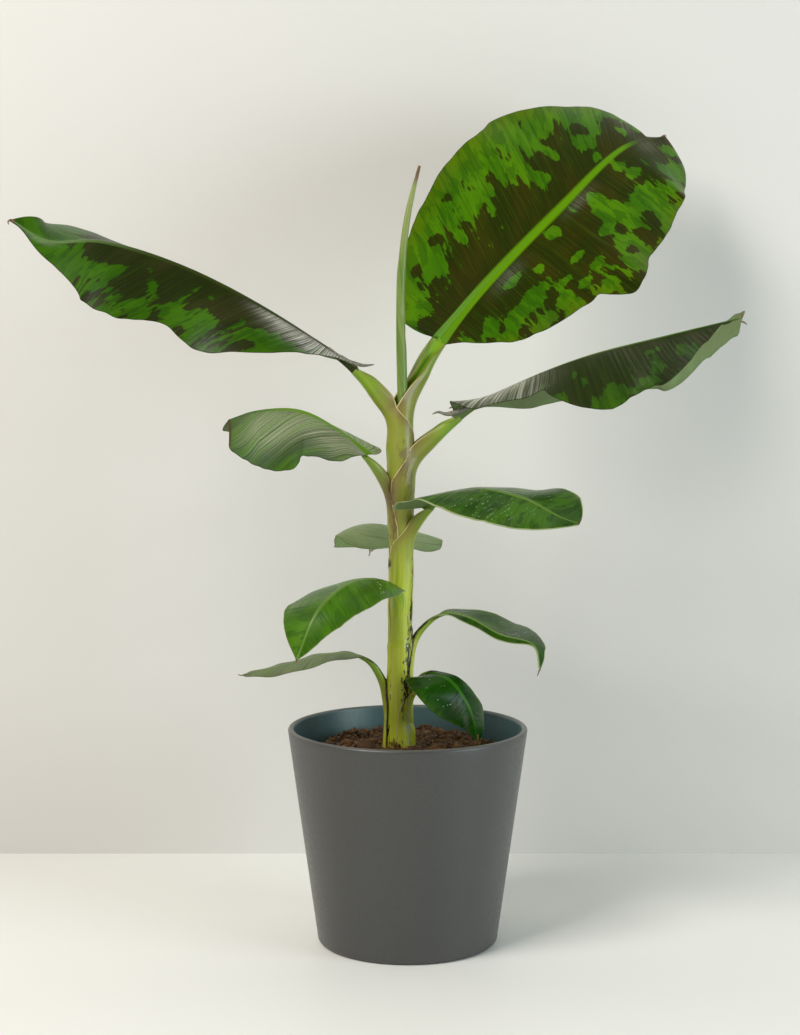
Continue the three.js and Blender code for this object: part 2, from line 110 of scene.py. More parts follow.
def turned(profile, sides):
    """A profile of (radius, height) rows turned round Z: point (r cos a, r sin a, z) for each row
    and each side. The first and last rows lie on the axis, so each is one point with a fan."""
    turn, body = np.arange(sides) * 2 * np.pi / sides, profile[1:-1]
    radius, level = body[:, :1], np.broadcast_to(body[:, 1:], (len(body), sides))
    ring = np.stack([radius * np.cos(turn), radius * np.sin(turn), level], -1).reshape(-1, 3)
    points = np.vstack([ring, [0, 0, profile[0, 1]], [0, 0, profile[-1, 1]]])
    last = (len(body) - 1) * sides
    side = np.arange(sides)
    after = (side + 1) % sides
    first_fan = np.stack([np.full(sides, len(ring)), after, side], 1)
    last_fan = np.stack([np.full(sides, len(ring) + 1), last + side, last + after], 1)
    return points, [ring_quads(np.arange(len(body) - 1) * sides, sides), np.vstack([first_fan, last_fan])]


def add(tree, kind, inputs=None, **settings):
    """Adds a node, sets its properties, and gives each input a value or a link."""
    made = tree.nodes.new(kind)
    for key, value in settings.items():
        setattr(made, key, value)
    for key, value in (inputs or {}).items():
        if isinstance(value, bpy.types.NodeSocket):
            tree.links.new(value, made.inputs[key])
        else:
            made.inputs[key].default_value = value
    return made


def read(tree, name):
    """The value of a per-point number of the mesh."""
    return add(tree, "ShaderNodeAttribute", attribute_name=name).outputs["Fac"]


def object_place(tree):
    """Where a point lies on its piece, in metres."""
    return add(tree, "ShaderNodeTexCoord").outputs["Object"]


def height_of(place):
    """The height in a place, in metres."""
    return add(place.id_data, "ShaderNodeSeparateXYZ", {0: place}).outputs[2]


def maths(operation, first, second):
    """One Math node on a socket, which says the tree, and a number or another socket."""
    return add(first.id_data, "ShaderNodeMath", {0: first, 1: second}, operation=operation).outputs[0]


def plus(first, second):
    """Sum of a socket and a number or socket."""
    return maths("ADD", first, second)


def times(first, second):
    """Product of a socket and a number or socket."""
    return maths("MULTIPLY", first, second)


def blend(share, low, high):
    """Colour between low and high by a share from 0 to 1."""
    return add(share.id_data, "ShaderNodeMix", {0: share, 6: low, 7: high}, data_type="RGBA").outputs[2]


def coats(colour, *layers):
    """A colour under other colours, each laid on by its share."""
    for share, tint in layers:
        colour = blend(share, colour, tint)
    return colour


def ramp(value, low, high, start=0.0, end=1.0):
    """Smooth rise from start to end while value goes from low to high."""
    numbers = {0: value, 1: low, 2: high, 3: start, 4: end}
    return add(value.id_data, "ShaderNodeMapRange", numbers, interpolation_type="SMOOTHSTEP").outputs[0]


def noise(vector, scale, detail=2.0, roughness=0.5):
    """Noise from 0 to 1 at a vector, with scale in features a metre."""
    numbers = {"Vector": vector, "Scale": scale, "Detail": detail, "Roughness": roughness}
    return add(vector.id_data, "ShaderNodeTexNoise", numbers).outputs[0]


def new_group(name, inputs, outputs):
    """A shader node group with named inputs and outputs, and the ends to wire inside it."""
    group = bpy.data.node_groups.new(name, "ShaderNodeTree")
    for key, (kind, value) in inputs.items():
        socket = group.interface.new_socket(key, in_out="INPUT", socket_type="NodeSocket" + kind)
        if value is not None:
            socket.default_value = value
    for key, kind in outputs.items():
        group.interface.new_socket(key, in_out="OUTPUT", socket_type="NodeSocket" + kind)
    return group, group.nodes.new("NodeGroupInput").outputs, group.nodes.new("NodeGroupOutput").inputs


def new_material(name):
    """A material with its Principled shader, ready to be wired."""
    material = bpy.data.materials.new(name)
    material.use_nodes = True
    tree = material.node_tree
    return material, tree, tree.nodes["Principled BSDF"].inputs


def use(group, tree, **inputs):
    """The outputs of a node group set into a tree."""
    return add(tree, "ShaderNodeGroup", inputs, node_tree=group).outputs


def wire(shader, colour, roughness, height=None, strength=0.0, distance=0.0):
    """Links a colour, a roughness and, if there is one, the bump of a height to a shader."""
    tree = colour.id_data
    tree.links.new(colour, shader["Base Color"])
    tree.links.new(roughness, shader["Roughness"])
    if height is not None:
        bump = add(tree, "ShaderNodeBump", {"Height": height, "Strength": strength, "Distance": distance})
        tree.links.new(bump.outputs[0], shader["Normal"])


# Speckle: fine grains of two sizes, used on the pot's skin and on the potting mix.
speckle, given, out = new_group(
    "speckle",
    {"Vector": ("Vector", None), "Fine": ("Float", 1500.0), "Coarse": ("Float", 260.0)},
    {"Grain": "Float", "Patch": "Float"},
)
speckle.links.new(ramp(noise(given["Vector"], given["Fine"], 1.0), 0.3, 0.72), out["Grain"])
speckle.links.new(noise(given["Vector"], given["Coarse"], 3.0, 0.6), out["Patch"])


def pot_material():
    """Anthracite with paler grains; the bluer inside is told from the outside by how far a point
    lies inside the outer cone, and the top of the lip is painted paler, a painted highlight."""
    material, tree, shader = new_material("pot_shell")
    place = object_place(tree)
    grains = use(speckle, tree, Vector=place)
    # The lip's paler top, laid on by height, is a painted highlight where light falls on it from above.
    colour = coats((0.048, 0.048, 0.046, 1), (read(tree, "inside"), (0.048, 0.13, 0.14, 1)),
                   (ramp(height_of(place), 0.2245, 0.2265, 0.0, 0.8), (0.11, 0.115, 0.095, 1)),
                   (times(grains["Grain"], 0.35), (0.11, 0.112, 0.11, 1)),
                   (times(grains["Patch"], 0.3), (0.05, 0.047, 0.043, 1)))
    wire(shader, colour, ramp(grains["Patch"], 0.3, 0.75, 0.3, 0.42), grains["Grain"], 0.2, 0.00012)
    return material


pot_rim_radius, _, pot_height = np.array(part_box("pot")[1]) / MM
pot_slope = (pot_rim_radius - POT_FOOT_RADIUS) / pot_height
foot_reach = POT_FOOT_RADIUS + pot_slope * POT_FOOT_ROUND - POT_FOOT_ROUND
lip_radius = POT_WALL / 2
lip_centre = (pot_rim_radius - lip_radius, pot_height - lip_radius)
inner_foot = POT_FOOT_RADIUS + pot_slope * POT_FLOOR - POT_WALL
wall_rise = np.linspace(0, 1, POT_WALL_ROWS)[1:-1, None]
outer_low = np.array([foot_reach + POT_FOOT_ROUND, POT_FOOT_ROUND])
outer_high = np.array([pot_rim_radius, lip_centre[1]])
inner_high = np.array([pot_rim_radius - POT_WALL, lip_centre[1]])
inner_low = np.array([inner_foot, POT_FLOOR + POT_INNER_ROUND])
pot_profile = np.vstack([
    [[0, 0], [foot_reach * 0.5, 0]],
    arc((foot_reach, POT_FOOT_ROUND), POT_FOOT_ROUND, -90, 0, 10),
    outer_low + (outer_high - outer_low) * wall_rise,
    arc(lip_centre, lip_radius, 0, 180, 17),
    inner_high + (inner_low - inner_high) * wall_rise,
    arc((inner_foot - POT_INNER_ROUND, POT_FLOOR + POT_INNER_ROUND), POT_INNER_ROUND, 0, -90, 8),
    [[0, POT_FLOOR]],
])
pot_points, pot_faces = turned(pot_profile, POT_SIDES)
depth_in = pot_rim_radius + pot_slope * (pot_points[:, 2] - pot_height) - np.hypot(*pot_points[:, :2].T)
pot_inside = np.clip((depth_in - lip_radius) / lip_radius, 0, 1) * (pot_points[:, 2] > POT_FLOOR - 1)
make_piece("pot_shell", pot_points, pot_faces, pot_material(), "pot_shell", ["pot"], {"inside": pot_inside})


# Root ball. A plug of potting mix, mostly composted bark and coconut fibre, with a crumbly uneven
# top a little below the rim. It stands on the pot's floor and carries the false trunk.
SOIL_SIDES = 220
SOIL_FOOT = 8.3          # just over the pot's floor
SOIL_TOP = 205
SOIL_TOP_RADIUS = 97
SOIL_FOOT_RADIUS = 82
SOIL_SHOULDER = 7
SOIL_LUMPS = [(21, 2.2, 5), (9, 2.6, 6), (4, 1.4, 7)]      # size, height and seed of the lumps
TRUNK_FOOT = (-9.5, 0.0)
TRUNK_FOOT_RADIUS = 17.6
SOIL_LEVEL = (12, 20)    # how far from the trunk's middle the lumps begin, and over what width they grow
BARK_CHIPS = 1900
CHIP_SMALLEST, CHIP_LARGEST = (1.8, 1.4, 1.0), (6.5, 4.6, 3.2)       # length, width and thickness
CHIP_TILT = 0.35         # spread of their tilts, in radians
FIBRES = 150
FIBRE_STEPS = 10
FIBRE_LENGTH, FIBRE_ARCH, FIBRE_RADIUS = (7, 24), (0.3, 3.0), (0.16, 0.34)
LATTICE = 64             # values each way before the lumps repeat


def smooth(share):
    """3 s^2 - 2 s^3 of a share held between 0 and 1."""
    s = np.clip(share, 0, 1)
    return s * s * (3 - 2 * s)


def lumps(x, y, seed):
    """Smooth random heights from -1 to 1: random values on a lattice one apart, blended between
    the four nearest by the smoothstep of the distance to them."""
    table = np.random.default_rng(seed).uniform(-1, 1, (LATTICE, LATTICE))
    at = lambda i, j: table[i % LATTICE, j % LATTICE]
    ix, iy = np.floor(x).astype(int), np.floor(y).astype(int)
    sx, sy = smooth(x - ix), smooth(y - iy)
    low = at(ix, iy) * (1 - sx) + at(ix + 1, iy) * sx
    high = at(ix, iy + 1) * (1 - sx) + at(ix + 1, iy + 1) * sx
    return low * (1 - sy) + high * sy


def soil_height(x, y):
    """Height of the mix: three sizes of lumps, drawn level towards the trunk's foot."""
    near = np.hypot(x - TRUNK_FOOT[0], y - TRUNK_FOOT[1])
    rough = sum(height * lumps(x / size, y / size, seed) for size, height, seed in SOIL_LUMPS)
    clear, width = SOIL_LEVEL
    return SOIL_TOP + rough * smooth((near - clear) / width)


def soil_materials():
    """One material for the mix and its chips, and one for the pale fibres. The chips' own tint,
    dealt out piece by piece, runs from near black through red-brown to tan."""
    material, tree, shader = new_material("potting_mix")
    grains = use(speckle, tree, Vector=object_place(tree), Fine=700.0, Coarse=160.0)
    tint = read(tree, "tint")
    chip = coats((0.028, 0.012, 0.003, 1), (ramp(tint, 0.0, 0.5), (0.18, 0.07, 0.012, 1)),
                 (ramp(tint, 0.5, 1.0), (0.36, 0.18, 0.035, 1)))
    mottled = blend(grains["Patch"], (0.055, 0.022, 0.004, 1), chip)
    wire(shader, mottled, ramp(grains["Grain"], 0.0, 1.0, 0.6, 0.95), grains["Grain"], 0.7, 0.0006)
    fibre, tree, shader = new_material("coconut_fibre")
    tone = noise(object_place(tree), 90.0)
    wire(shader, blend(tone, (0.16, 0.075, 0.03, 1), (0.5, 0.36, 0.2, 1)), ramp(tone, 0.2, 0.8, 0.55, 0.8))
    return material, fibre


mix_material, fibre_material = soil_materials()
soil_edge = (SOIL_TOP_RADIUS - SOIL_SHOULDER, SOIL_TOP - SOIL_SHOULDER)
soil_profile = np.vstack([
    [[radius, SOIL_FOOT] for radius in (0, SOIL_FOOT_RADIUS * 0.5, SOIL_FOOT_RADIUS - 2)],
    [[SOIL_FOOT_RADIUS, 10]],
    np.linspace((SOIL_FOOT_RADIUS, 12), (SOIL_TOP_RADIUS, soil_edge[1]), 16),
    arc(soil_edge, SOIL_SHOULDER, 10, 80, 7),
    np.linspace((soil_edge[0], SOIL_TOP), (0.8, SOIL_TOP), 78),
    [[0, SOIL_TOP]],
])
soil_points, soil_faces = turned(soil_profile, SOIL_SIDES)
x, y, z = soil_points.T
on_top = smooth((z - SOIL_TOP + SOIL_SHOULDER) / SOIL_SHOULDER)
crumble = 1 + 0.02 * lumps(np.arctan2(y, x) * 9, z / 9, 8) * (z > 20)
soil_points = np.stack([x * crumble, y * crumble, z + (soil_height(x, y) - SOIL_TOP) * on_top], 1)
soil_tint = 0.35 + 0.3 * lumps(x / 4, y / 4, 9)
make_piece("potting_mix", soil_points, soil_faces, mix_material, "soil", ["root_ball"], {"tint": soil_tint})


def scattered(count, seed):
    """Random places on the mix, even over its area and clear of the trunk's foot."""
    dice = np.random.default_rng(seed)
    radius = (SOIL_TOP_RADIUS - 5) * np.sqrt(dice.uniform(0, 1, 2 * count))
    turn = dice.uniform(0, 2 * np.pi, 2 * count)
    spots = np.stack([radius * np.cos(turn), radius * np.sin(turn)], 1)
    clear = np.hypot(*(spots - TRUNK_FOOT).T) > TRUNK_FOOT_RADIUS + 3
    return dice, spots[clear][:count]


def bark_chips():
    """Flat splinters: a cube's eight corners, each pushed at random, scaled to length, width and
    thickness, turned by a random rotation that keeps them nearly level, and set on the mix."""
    dice, spots = scattered(BARK_CHIPS, 11)
    count = len(spots)
    corners = np.array([[i, j, k] for i in (-1, 1) for j in (-1, 1) for k in (-1, 1)]) / 2
    size = dice.lognormal(0, 0.35, (count, 1, 1)) * dice.uniform(CHIP_SMALLEST, CHIP_LARGEST, (count, 1, 3))
    chips = (corners + dice.uniform(-0.16, 0.16, (count, 8, 3))) * size
    turn = dice.uniform(0, 2 * np.pi, count)
    tip, roll = dice.normal(0, CHIP_TILT, (2, count))
    along = np.stack([np.cos(turn) * np.cos(tip), np.sin(turn) * np.cos(tip), np.sin(tip)], 1)
    side = unit(np.stack([-np.sin(turn), np.cos(turn), roll], 1))
    side = unit(side - (side * along).sum(1, keepdims=True) * along)
    axes = np.stack([along, side, np.cross(along, side)], 1)
    seat = np.column_stack([spots, soil_height(*spots.T) + 0.4])
    points = np.einsum("nij,njk->nik", chips, axes) + seat[:, None]
    cube = np.array([[0, 1, 3, 2], [4, 6, 7, 5], [0, 4, 5, 1], [2, 3, 7, 6], [0, 2, 6, 4], [1, 5, 7, 3]])
    faces = (cube[None] + 8 * np.arange(count)[:, None, None]).reshape(-1, 4)
    tint = np.repeat(dice.beta(1.5, 1.9, count), 8)
    return points.reshape(-1, 3), [faces], tint


def fibres():
    """Four-sided threads: each runs from its spot along a bending line, arched by a sine so that
    both ends dip into the mix."""
    dice, spots = scattered(FIBRES, 12)
    count, steps = len(spots), FIBRE_STEPS
    t = np.linspace(0, 1, steps)[None, :]
    turn = dice.uniform(0, 2 * np.pi, (count, 1)) + dice.normal(0, 0.9, (count, 1)) * t
    length = dice.uniform(*FIBRE_LENGTH, (count, 1))
    x = spots[:, :1] + np.cumsum(np.cos(turn), 1) * length / steps
    y = spots[:, 1:] + np.cumsum(np.sin(turn), 1) * length / steps
    inside = np.minimum(1, (SOIL_TOP_RADIUS - 4) / np.maximum(np.hypot(x, y), 1))
    x, y = x * inside, y * inside
    z = soil_height(x, y) + dice.uniform(*FIBRE_ARCH, (count, 1)) * np.sin(np.pi * t) - 0.2
    taper = 0.35 + 0.65 * np.sin(np.pi * np.clip(t, 0.05, 0.95))
    radius = dice.uniform(*FIBRE_RADIUS, (count, 1)) * taper
    side = np.stack([-np.sin(turn), np.cos(turn), np.zeros_like(turn)], -1)
    up, centre = np.array([0, 0, 1.0]), np.stack([x, y, z], -1)
    ring = [centre + radius[..., None] * (c * side + s * up) for c, s in ((1, 0), (0, 1), (-1, 0), (0, -1))]
    first = np.arange(count)[:, None] * steps * 4
    quads = ring_quads((first + np.arange(steps - 1) * 4).ravel(), 4)
    ends = np.vstack([first + [3, 2, 1, 0], first + (steps - 1) * 4 + [0, 1, 2, 3]])
    return np.stack(ring, 2).reshape(-1, 3), [quads, ends]


*chips, chip_tint = bark_chips()
make_piece("bark_chips", *chips, mix_material, "soil", values={"tint": chip_tint})
make_piece("coconut_fibres", *fibres(), fibre_material, "soil")


# Leaves. Ten leaves grow from the false trunk, each of one piece from its sheath to its tip: soft
# green tissue, stiffened by the stalk's channel and the midrib. One rule makes their sheaths, stalks
# and blades, so its rows and its line come first.
#
# A line runs from inside the trunk up the stalk and along the midrib. With it come the neck's
# height, the stalk's length, the half widths at foot, neck and blade, and the way the upper side
# looks at foot and tip. turn is the side of the trunk that the sheath wraps from, in degrees from
# +X, and front and back say how far round the trunk its margins have come at some drops below the
# neck. patches and bloom are spots: place along and out from the midrib, reach along and out, and
# strength; the second kind are spots of painted sheen, a pale grey colour laid on where glossy
# reflection shows. dark is how blotched each half is by the midrib and by the margin.
CURVE_STEPS = 120        # steps of a curve between two of its points
STALK_STEADY = 0.15      # how long the stalk's upper side waits before it turns, as a share of the rest
HALF = ("reach", "peak", "foot", "tip", "lift", "curl", "sweep", "waves")


def half(*numbers, trim=((0, 1), (1, 1)), roll=((0, 0.8, 0), (1, 0.8, 0))):
    """One half of a blade: its widest reach and the share of the length it lies at, the powers of
    its outline towards foot and tip, its angles, its veins' sweep, its ripples, and the factors and
    the turning over of its margin at some shares of the length."""
    return dict(zip(HALF, numbers), trim=trim, roll=roll)


LEAVES = {
    "leaf_1": dict(
        line=[(-5, 0, 500), (0, 5, 545), (15, 18, 599), (62, 51, 664), (166, 125, 772), (245, 200, 845),
            (296, 250, 861)],
        neck=592, stalk=142, radii=(11, 10, 8), face=[(0.35, -0.8, 0.5), (0.3, -0.8, 0.6)],
        left=half(118, 0.6, 0.52, 1.5, (8, 4, 0), (0, -10, -20), (-0.5, 0.14), [(2, 5.3, 0.3)],
            trim=[(0, 1.5), (0.02, 1.4), (0.075, 0.98), (0.135, 0.99), (0.2, 1.02), (0.29, 1.02),
            (0.36, 1.04), (0.45, 1.08), (0.5, 1.07), (0.6, 1.05), (0.66, 1.06), (0.73, 1.06), (0.77, 1.08),
            (0.8, 1.1), (0.833, 1.18), (0.86, 1.26), (0.88, 1.24), (0.893, 1.1), (0.91, 0.86), (0.925, 0.5),
            (0.94, 0.2), (1, 0.2)]),
        right=half(106, 0.64, 0.6, 0.38, (8, 4, 0), (0, -10, -20), (-0.2, 0.22), [(6, 2.5, 0.1),
            (2, 6.1, 0.2)], trim=[(0, 0.6), (0.03, 0.68), (0.065, 0.87), (0.107, 0.98), (0.135, 1.06),
            (0.18, 1.05), (0.245, 1.02), (0.34, 1.02), (0.372, 1.01), (0.393, 0.99), (0.415, 1.07),
            (0.44, 1.17), (0.46, 1.21), (0.503, 1.175), (0.542, 1.1), (0.58, 1.012), (0.655, 1),
            (0.713, 0.968), (0.815, 0.935), (0.915, 0.935), (0.968, 0.96), (1, 1)]),
        turn=40, front=[(8, 72), (32, 160)], back=[(8, 72), (32, 160)], stalk_face=(-0.8, -0.42, 0.45),
            dark=[(0.3, -0.26), (0.24, 0.05)], pleats=(5.5, 0.16), rib_end=0.85, lean=(0.65, 0.05), edge=0.6,
        patches=[(230, -60, 7.7, 9.9, -0.53), (232, -43, 7.7, 5.5, -0.44), (233, -34, 9.9, 4.4, -0.49),
            (270, -51, 5.5, 12.1, -0.53), (323, -77, 5.5, 13.2, -0.33), (336, -45, 5.5, 14.3, -0.53),
            (310, -33, 11, 9.9, -0.49), (335, -68, 5.5, 7.7, -0.26), (303, -10, 7.7, 4.4, -0.44),
            (141, -68, 9.9, 6.6, -0.2), (271, -82, 15.4, 9.9, -0.26), (360, -20, 6.6, 7.7, -0.35),
            (153, -93, 9.9, 6.6, 0.25), (104, -72, 11, 7.7, 0.26), (316, -52, 5.5, 9.9, 0.2),
            (360, -38, 7.7, 11, 0.25), (306, -56, 7.7, 12.1, 0.15), (64, -66, 8.8, 5.5, 0.2),
            (61, -38, 7.7, 5.5, 0.15), (187, 15, 9.9, 9.9, -0.61), (255, 21, 11, 9.9, -0.61),
            (254, 41, 13.2, 11, -0.61), (263, 62, 12.1, 11, -0.61), (302, 58, 22, 11, -0.67),
            (319, 69, 14.3, 7.7, -0.39), (315, 14, 14.3, 6.6, -0.53), (322, 29, 14.3, 6.6, -0.53),
            (314, 1, 8.8, 4.4, -0.44), (376, 46, 22, 9.9, -0.44), (358, 70, 16.5, 7.7, -0.33),
            (308, 83, 13.2, 5.5, -0.33), (232, 52, 15.4, 5.5, -0.53), (233, 75, 12.1, 7.7, -0.39),
            (224, 100, 16.5, 8.8, -0.45), (182, 51, 12.1, 3.3, -0.49), (190, 71, 12.1, 4.4, -0.36),
            (140, 30, 7.7, 4.4, -0.44), (150, 60, 11, 3.3, -0.49), (165, 76, 8.8, 3.3, -0.33),
            (109, 19, 15.4, 5.5, -0.53), (115, 48, 17.6, 7.7, -0.58), (136, 73, 11, 6.6, -0.39),
            (87, 47, 18.7, 6.6, -0.53), (49, 35, 15.4, 6.6, -0.44), (104, 75, 13.2, 5.5, -0.39),
            (180, 98, 12.1, 5.5, -0.39), (60, 55, 12.1, 5.5, -0.53), (138, 90, 11, 5.5, -0.39),
            (276, 95, 12, 9, 0.2), (186, 30, 12, 9, 0.1), (408, 18, 10, 9, -0.4), (398, 48, 14, 10, -0.45),
            (376, 73, 14, 8, -0.3), (325, 94, 22, 6, -0.3), (294, 98, 14, 6, -0.3)],
        bloom=[(240, 10, 22, 6, 0.4), (108, 12, 20, 8, 0.4), (377, 8, 16, 10, 0.3), (370, -24, 8, 16, 0.4)]),
    "leaf_2": dict(
        line=[(-7, 0, 480), (-9, 0, 526), (-37, -4, 583), (-110, -8, 640), (-222, -12, 701), (-310, -20, 728),
            (-365, -26, 728), (-401, -28, 749)],
        neck=578, stalk=133, radii=(12.5, 9.8, 7.6), face=[(0, -0.1, 1), (0, -0.2, 1)],
        left=half(81, 0.58, 1.1, 1.9, (8, -48, -22), (0, -20, -10), (-0.4, 0.4), [(6, 2.9, 0.47),
            (1.6, 6.3, 0.1)], trim=[(0, 0.8), (0.05, 0.5), (0.118, 0.65), (0.173, 0.95), (0.245, 1.1),
            (0.312, 1.13), (0.365, 1.1), (0.4, 1.026), (0.422, 0.97), (0.445, 0.91), (0.478, 0.87),
            (0.51, 0.85), (0.56, 0.9), (0.595, 0.99), (0.633, 1.07), (0.675, 1.1), (0.725, 1.06),
            (0.795, 1.09), (0.84, 1), (0.863, 0.92), (0.895, 0.9), (1, 1)]),
        right=half(88, 0.58, 0.6, 1.1, (5, -20, 60), (-10, -20, -10), (-0.3, 0.4), [(2, 5.1, 0.2)]),
        turn=180, front=[(18, 64), (31, 122), (46, 165)], back=[(18, 60), (40, 110), (60, 150)],
            dark=[(0.27, -0.03), (0.2, -0.1)], pleats=(5.5, 0.2), lean=(0.7, 0.5), edge=0.6,
        patches=[(298, -30, 20, 9, -0.35), (271, -32, 13, 10, -0.35), (272, -51, 13, 6, -0.3),
            (255, -4, 4, 5, -0.3), (233, -20, 5, 6, -0.3), (226, -36, 5, 5, -0.3), (202, -53, 12, 9, -0.3),
            (167, -21, 4, 3, -0.3), (166, -48, 14, 12, -0.35), (186, -54, 10, 8, -0.3),
            (233, -63, 14, 7, -0.3), (98, -40, 28, 12, -0.3), (367, 0, 10, 11, -0.3), (330, -8, 5, 5, -0.2),
            (350, 12, 40, 40, -0.5)],
        bloom=[(60, -16, 34, 13, 1.3), (20, -4, 26, 12, 1.2), (104, -8, 20, 7, 0.7), (352, -2, 16, 4, 0.4)]),
    "leaf_3": dict(
        line=[(-5, 0, 450), (-3, 0, 478), (12, 1, 511), (49, 5, 548), (100, 8, 578), (178, 5, 610),
            (270, -2, 634), (341, -10, 651)],
        neck=531, stalk=121, radii=(12.5, 8.2, 6.6), face=[(0, -0.1, 1), (0, -0.2, 1)],
        left=half(72, 0.45, 0.5, 1, (0, -38, -35), (-10, -20, -10), (-0.3, 0.4), [(2, 5.2, 0.4)],
            trim=[(0, 0.4), (0.06, 0.6), (0.13, 0.85), (0.2, 1), (1, 1)]),
        right=half(61, 0.58, 0.5, 1.25, (60, -44, -48), (0, 10, 20), (-1.4, 0.4), [(5, 3, 0.92),
            (1.5, 6.7, 0.5)], trim=[(0, 0.35), (0.04, 0.45), (0.1, 0.75), (0.15, 0.92), (0.2, 0.95),
            (0.225, 0.82), (0.25, 0.7), (0.3, 0.6), (0.36, 0.58), (0.42, 0.825), (0.45, 0.92), (0.49, 1.01),
            (0.535, 1.09), (0.56, 1.11), (0.585, 1.09), (0.6, 1.04), (0.618, 0.97), (0.635, 0.9),
            (0.66, 0.95), (0.7, 1.21), (0.74, 1.52), (0.78, 1.56), (0.82, 1.61), (0.86, 1.99), (0.9, 2.89),
            (0.94, 4.85), (0.97, 7.69), (1, 8.2)], roll=[(0, 0.84, 0), (0.64, 0.84, 0), (0.7, 0.8, 120),
            (0.74, 0.77, 150), (0.8, 0.7, 172), (0.85, 0.58, 178), (0.89, 0.4, 180), (0.93, 0.28, 180),
            (1, 0.24, 180)]),
        turn=0, front=[(23, 63), (46, 128), (62, 141)], back=[(18, 60), (40, 110), (60, 150)],
            dark=[(0.25, -0.05), (0.27, 0.03)], pleats=(5.5, 0.16), lean=(0.4, 0.45), edge=0.6,
            rib_shown=0.45,
        patches=[(139, 18, 6, 12, -0.25), (181, 51, 8, 13, -0.35), (192, 50, 6, 5, -0.2),
            (212, 13, 10, 6, -0.25), (217, 38, 8, 14, -0.28), (208, 49, 6, 6, -0.25), (248, 17, 11, 8, -0.3),
            (256, 35, 7, 16, -0.25), (238, 40, 5, 12, -0.2), (99, 4, 6, 8, -0.2)],
        bloom=[(20, 14, 46, 40, 1), (62, 8, 34, 22, 1), (100, 30, 14, 10, 0.4)]),
    "leaf_4": dict(
        line=[(-8, 0, 415), (-12, -2, 450), (-27, -11, 490), (-59, -29, 528), (-105, -65, 558),
            (-148, -97, 559), (-174, -117, 551)],
        neck=494, stalk=108, radii=(12, 6.4, 5), face=[(0.2, -0.2, 1), (-0.2, -0.3, 1)],
        left=half(60, 0.74, 1, 0.14, (0, -43, -60), (-10, -30, -10), (-0.4, 0.45), [(4, 2.2, 0),
            (1.2, 5, 0.3)], trim=[(0, 1.3), (0.228, 1.17), (0.283, 1.035), (0.4, 0.93), (0.51, 0.94),
            (0.54, 1.08), (0.593, 1.19), (0.655, 1.09), (0.718, 0.97), (0.78, 0.9), (0.897, 0.754),
            (0.965, 0.738), (0.99, 0.77), (1, 1.2)]),
        right=half(64, 0.5, 0.55, 0.5, (42, -14, -30), (-10, -20, -10), (-1.1, 0.2), [(1.5, 4.6, 0.1)]),
        turn=184, front=[(18, 30), (29, 42), (43, 61), (60, 74)], back=[(14, 60), (40, 110), (60, 140)],
            dark=[(-0.2, -0.3), (-0.2, -0.3)], pleats=(5, 0.5), lean=(2, 0.8), edge=0.6, rib_shown=1.6,
        bloom=[(60, -14, 54, 20, 1.2), (20, 20, 40, 40, 0.9), (134, -18, 34, 20, 1.1)]),
    "leaf_5": dict(
        line=[(-7, 0, 378), (-3, -5, 417), (17, -18, 453), (56, -44, 478), (112, -85, 473), (150, -115, 455),
            (166, -125, 450)],
        neck=449, stalk=92, radii=(12, 6.8, 5.4), face=[(0, -0.2, 1), (0, -0.2, 1)],
        left=half(54, 0.65, 0.4, 0.5, (0, -2, 25), (-10, -20, 10), (-0.3, -0.1), [(1.2, 4.3, 0.2)]),
        right=half(44, 0.5, 0.35, 0.5, (60, -12, 5), (0, -20, -10), (-1.5, 0.3), [(0.9, 6.5, 0.2)],
            trim=[(0, 1), (0.3, 1), (0.435, 1.06), (0.492, 1.1), (0.55, 1.07), (0.628, 1.12), (0.7, 1.11),
            (0.768, 1.16), (0.83, 1), (0.878, 0.88), (0.93, 0.85), (1, 0.5)]),
        turn=350, front=[(6, 40), (15, 63), (31, 123), (45, 150)], back=[(10, 50), (30, 100), (50, 140)],
            pleats=(4.5, 0.26), edge=1.6,
        bloom=[(26, 12, 34, 26, 0.9), (20, -10, 40, 20, 0.6), (60, -16, 20, 8, 0.3)]),
    "leaf_6": dict(
        line=[(-7, 2, 330), (-7, 8, 369), (-6, 32, 405), (-10, 75, 425), (-22, 130, 418), (-40, 178, 392)],
        neck=398, stalk=96, radii=(11.5, 6.4, 5), face=[(0, 0, 1), (0, 0.1, 1)],
        left=half(74, 0.42, 0.4, 1.3, (10, 20, -20), (-20, -60, -30), (-0.3, 0.3), [(1.2, 4.2, 0.4)],
            trim=[(0, 1), (0.22, 1.02), (0.335, 0.94), (0.48, 0.93), (0.56, 0.97), (0.625, 1.02),
            (0.685, 0.9), (0.75, 0.62), (0.823, 0.35), (1, 0.25)]),
        right=half(52, 0.4, 0.25, 1.8, (-5, -8, -30), (-10, -20, -10), (-0.3, 0.3), [(1.2, 4.7, 0.1)],
            trim=[(0, 1), (0.22, 0.98), (0.36, 0.88), (0.5, 0.96), (1, 1)]),
        turn=90, front=[(10, 60), (25, 105), (60, 122)], back=[(10, 60), (25, 105), (60, 122)],
            pleats=(4.5, 0.3),
        bloom=[(60, 0, 200, 200, 0.45)]),
    "leaf_7": dict(
        line=[(-8, -1, 300), (-10, -5, 338), (-13, -25, 377), (-50, -62, 388), (-88, -115, 364),
            (-109, -130, 317)],
        neck=366, stalk=80, radii=(12, 6.2, 5), face=[(-0.1, -0.3, 1), (-0.4, -0.9, 0.4)],
        left=half(39, 0.45, 0.25, 1, (-5, -10, -10), (-10, -20, -10), (-0.1, 0.3), [(0.9, 3.6, 0.2)],
            trim=[(0, 0.5), (0.06, 0.62), (0.14, 0.85), (0.25, 0.95), (0.5, 0.95), (0.8, 0.85), (1, 0.8)]),
        right=half(40, 0.65, 0.5, 1.1, (-20, -10, 0), (-10, -20, -10), (-0.45, 0.1), [(0.9, 3.2, 0.6)],
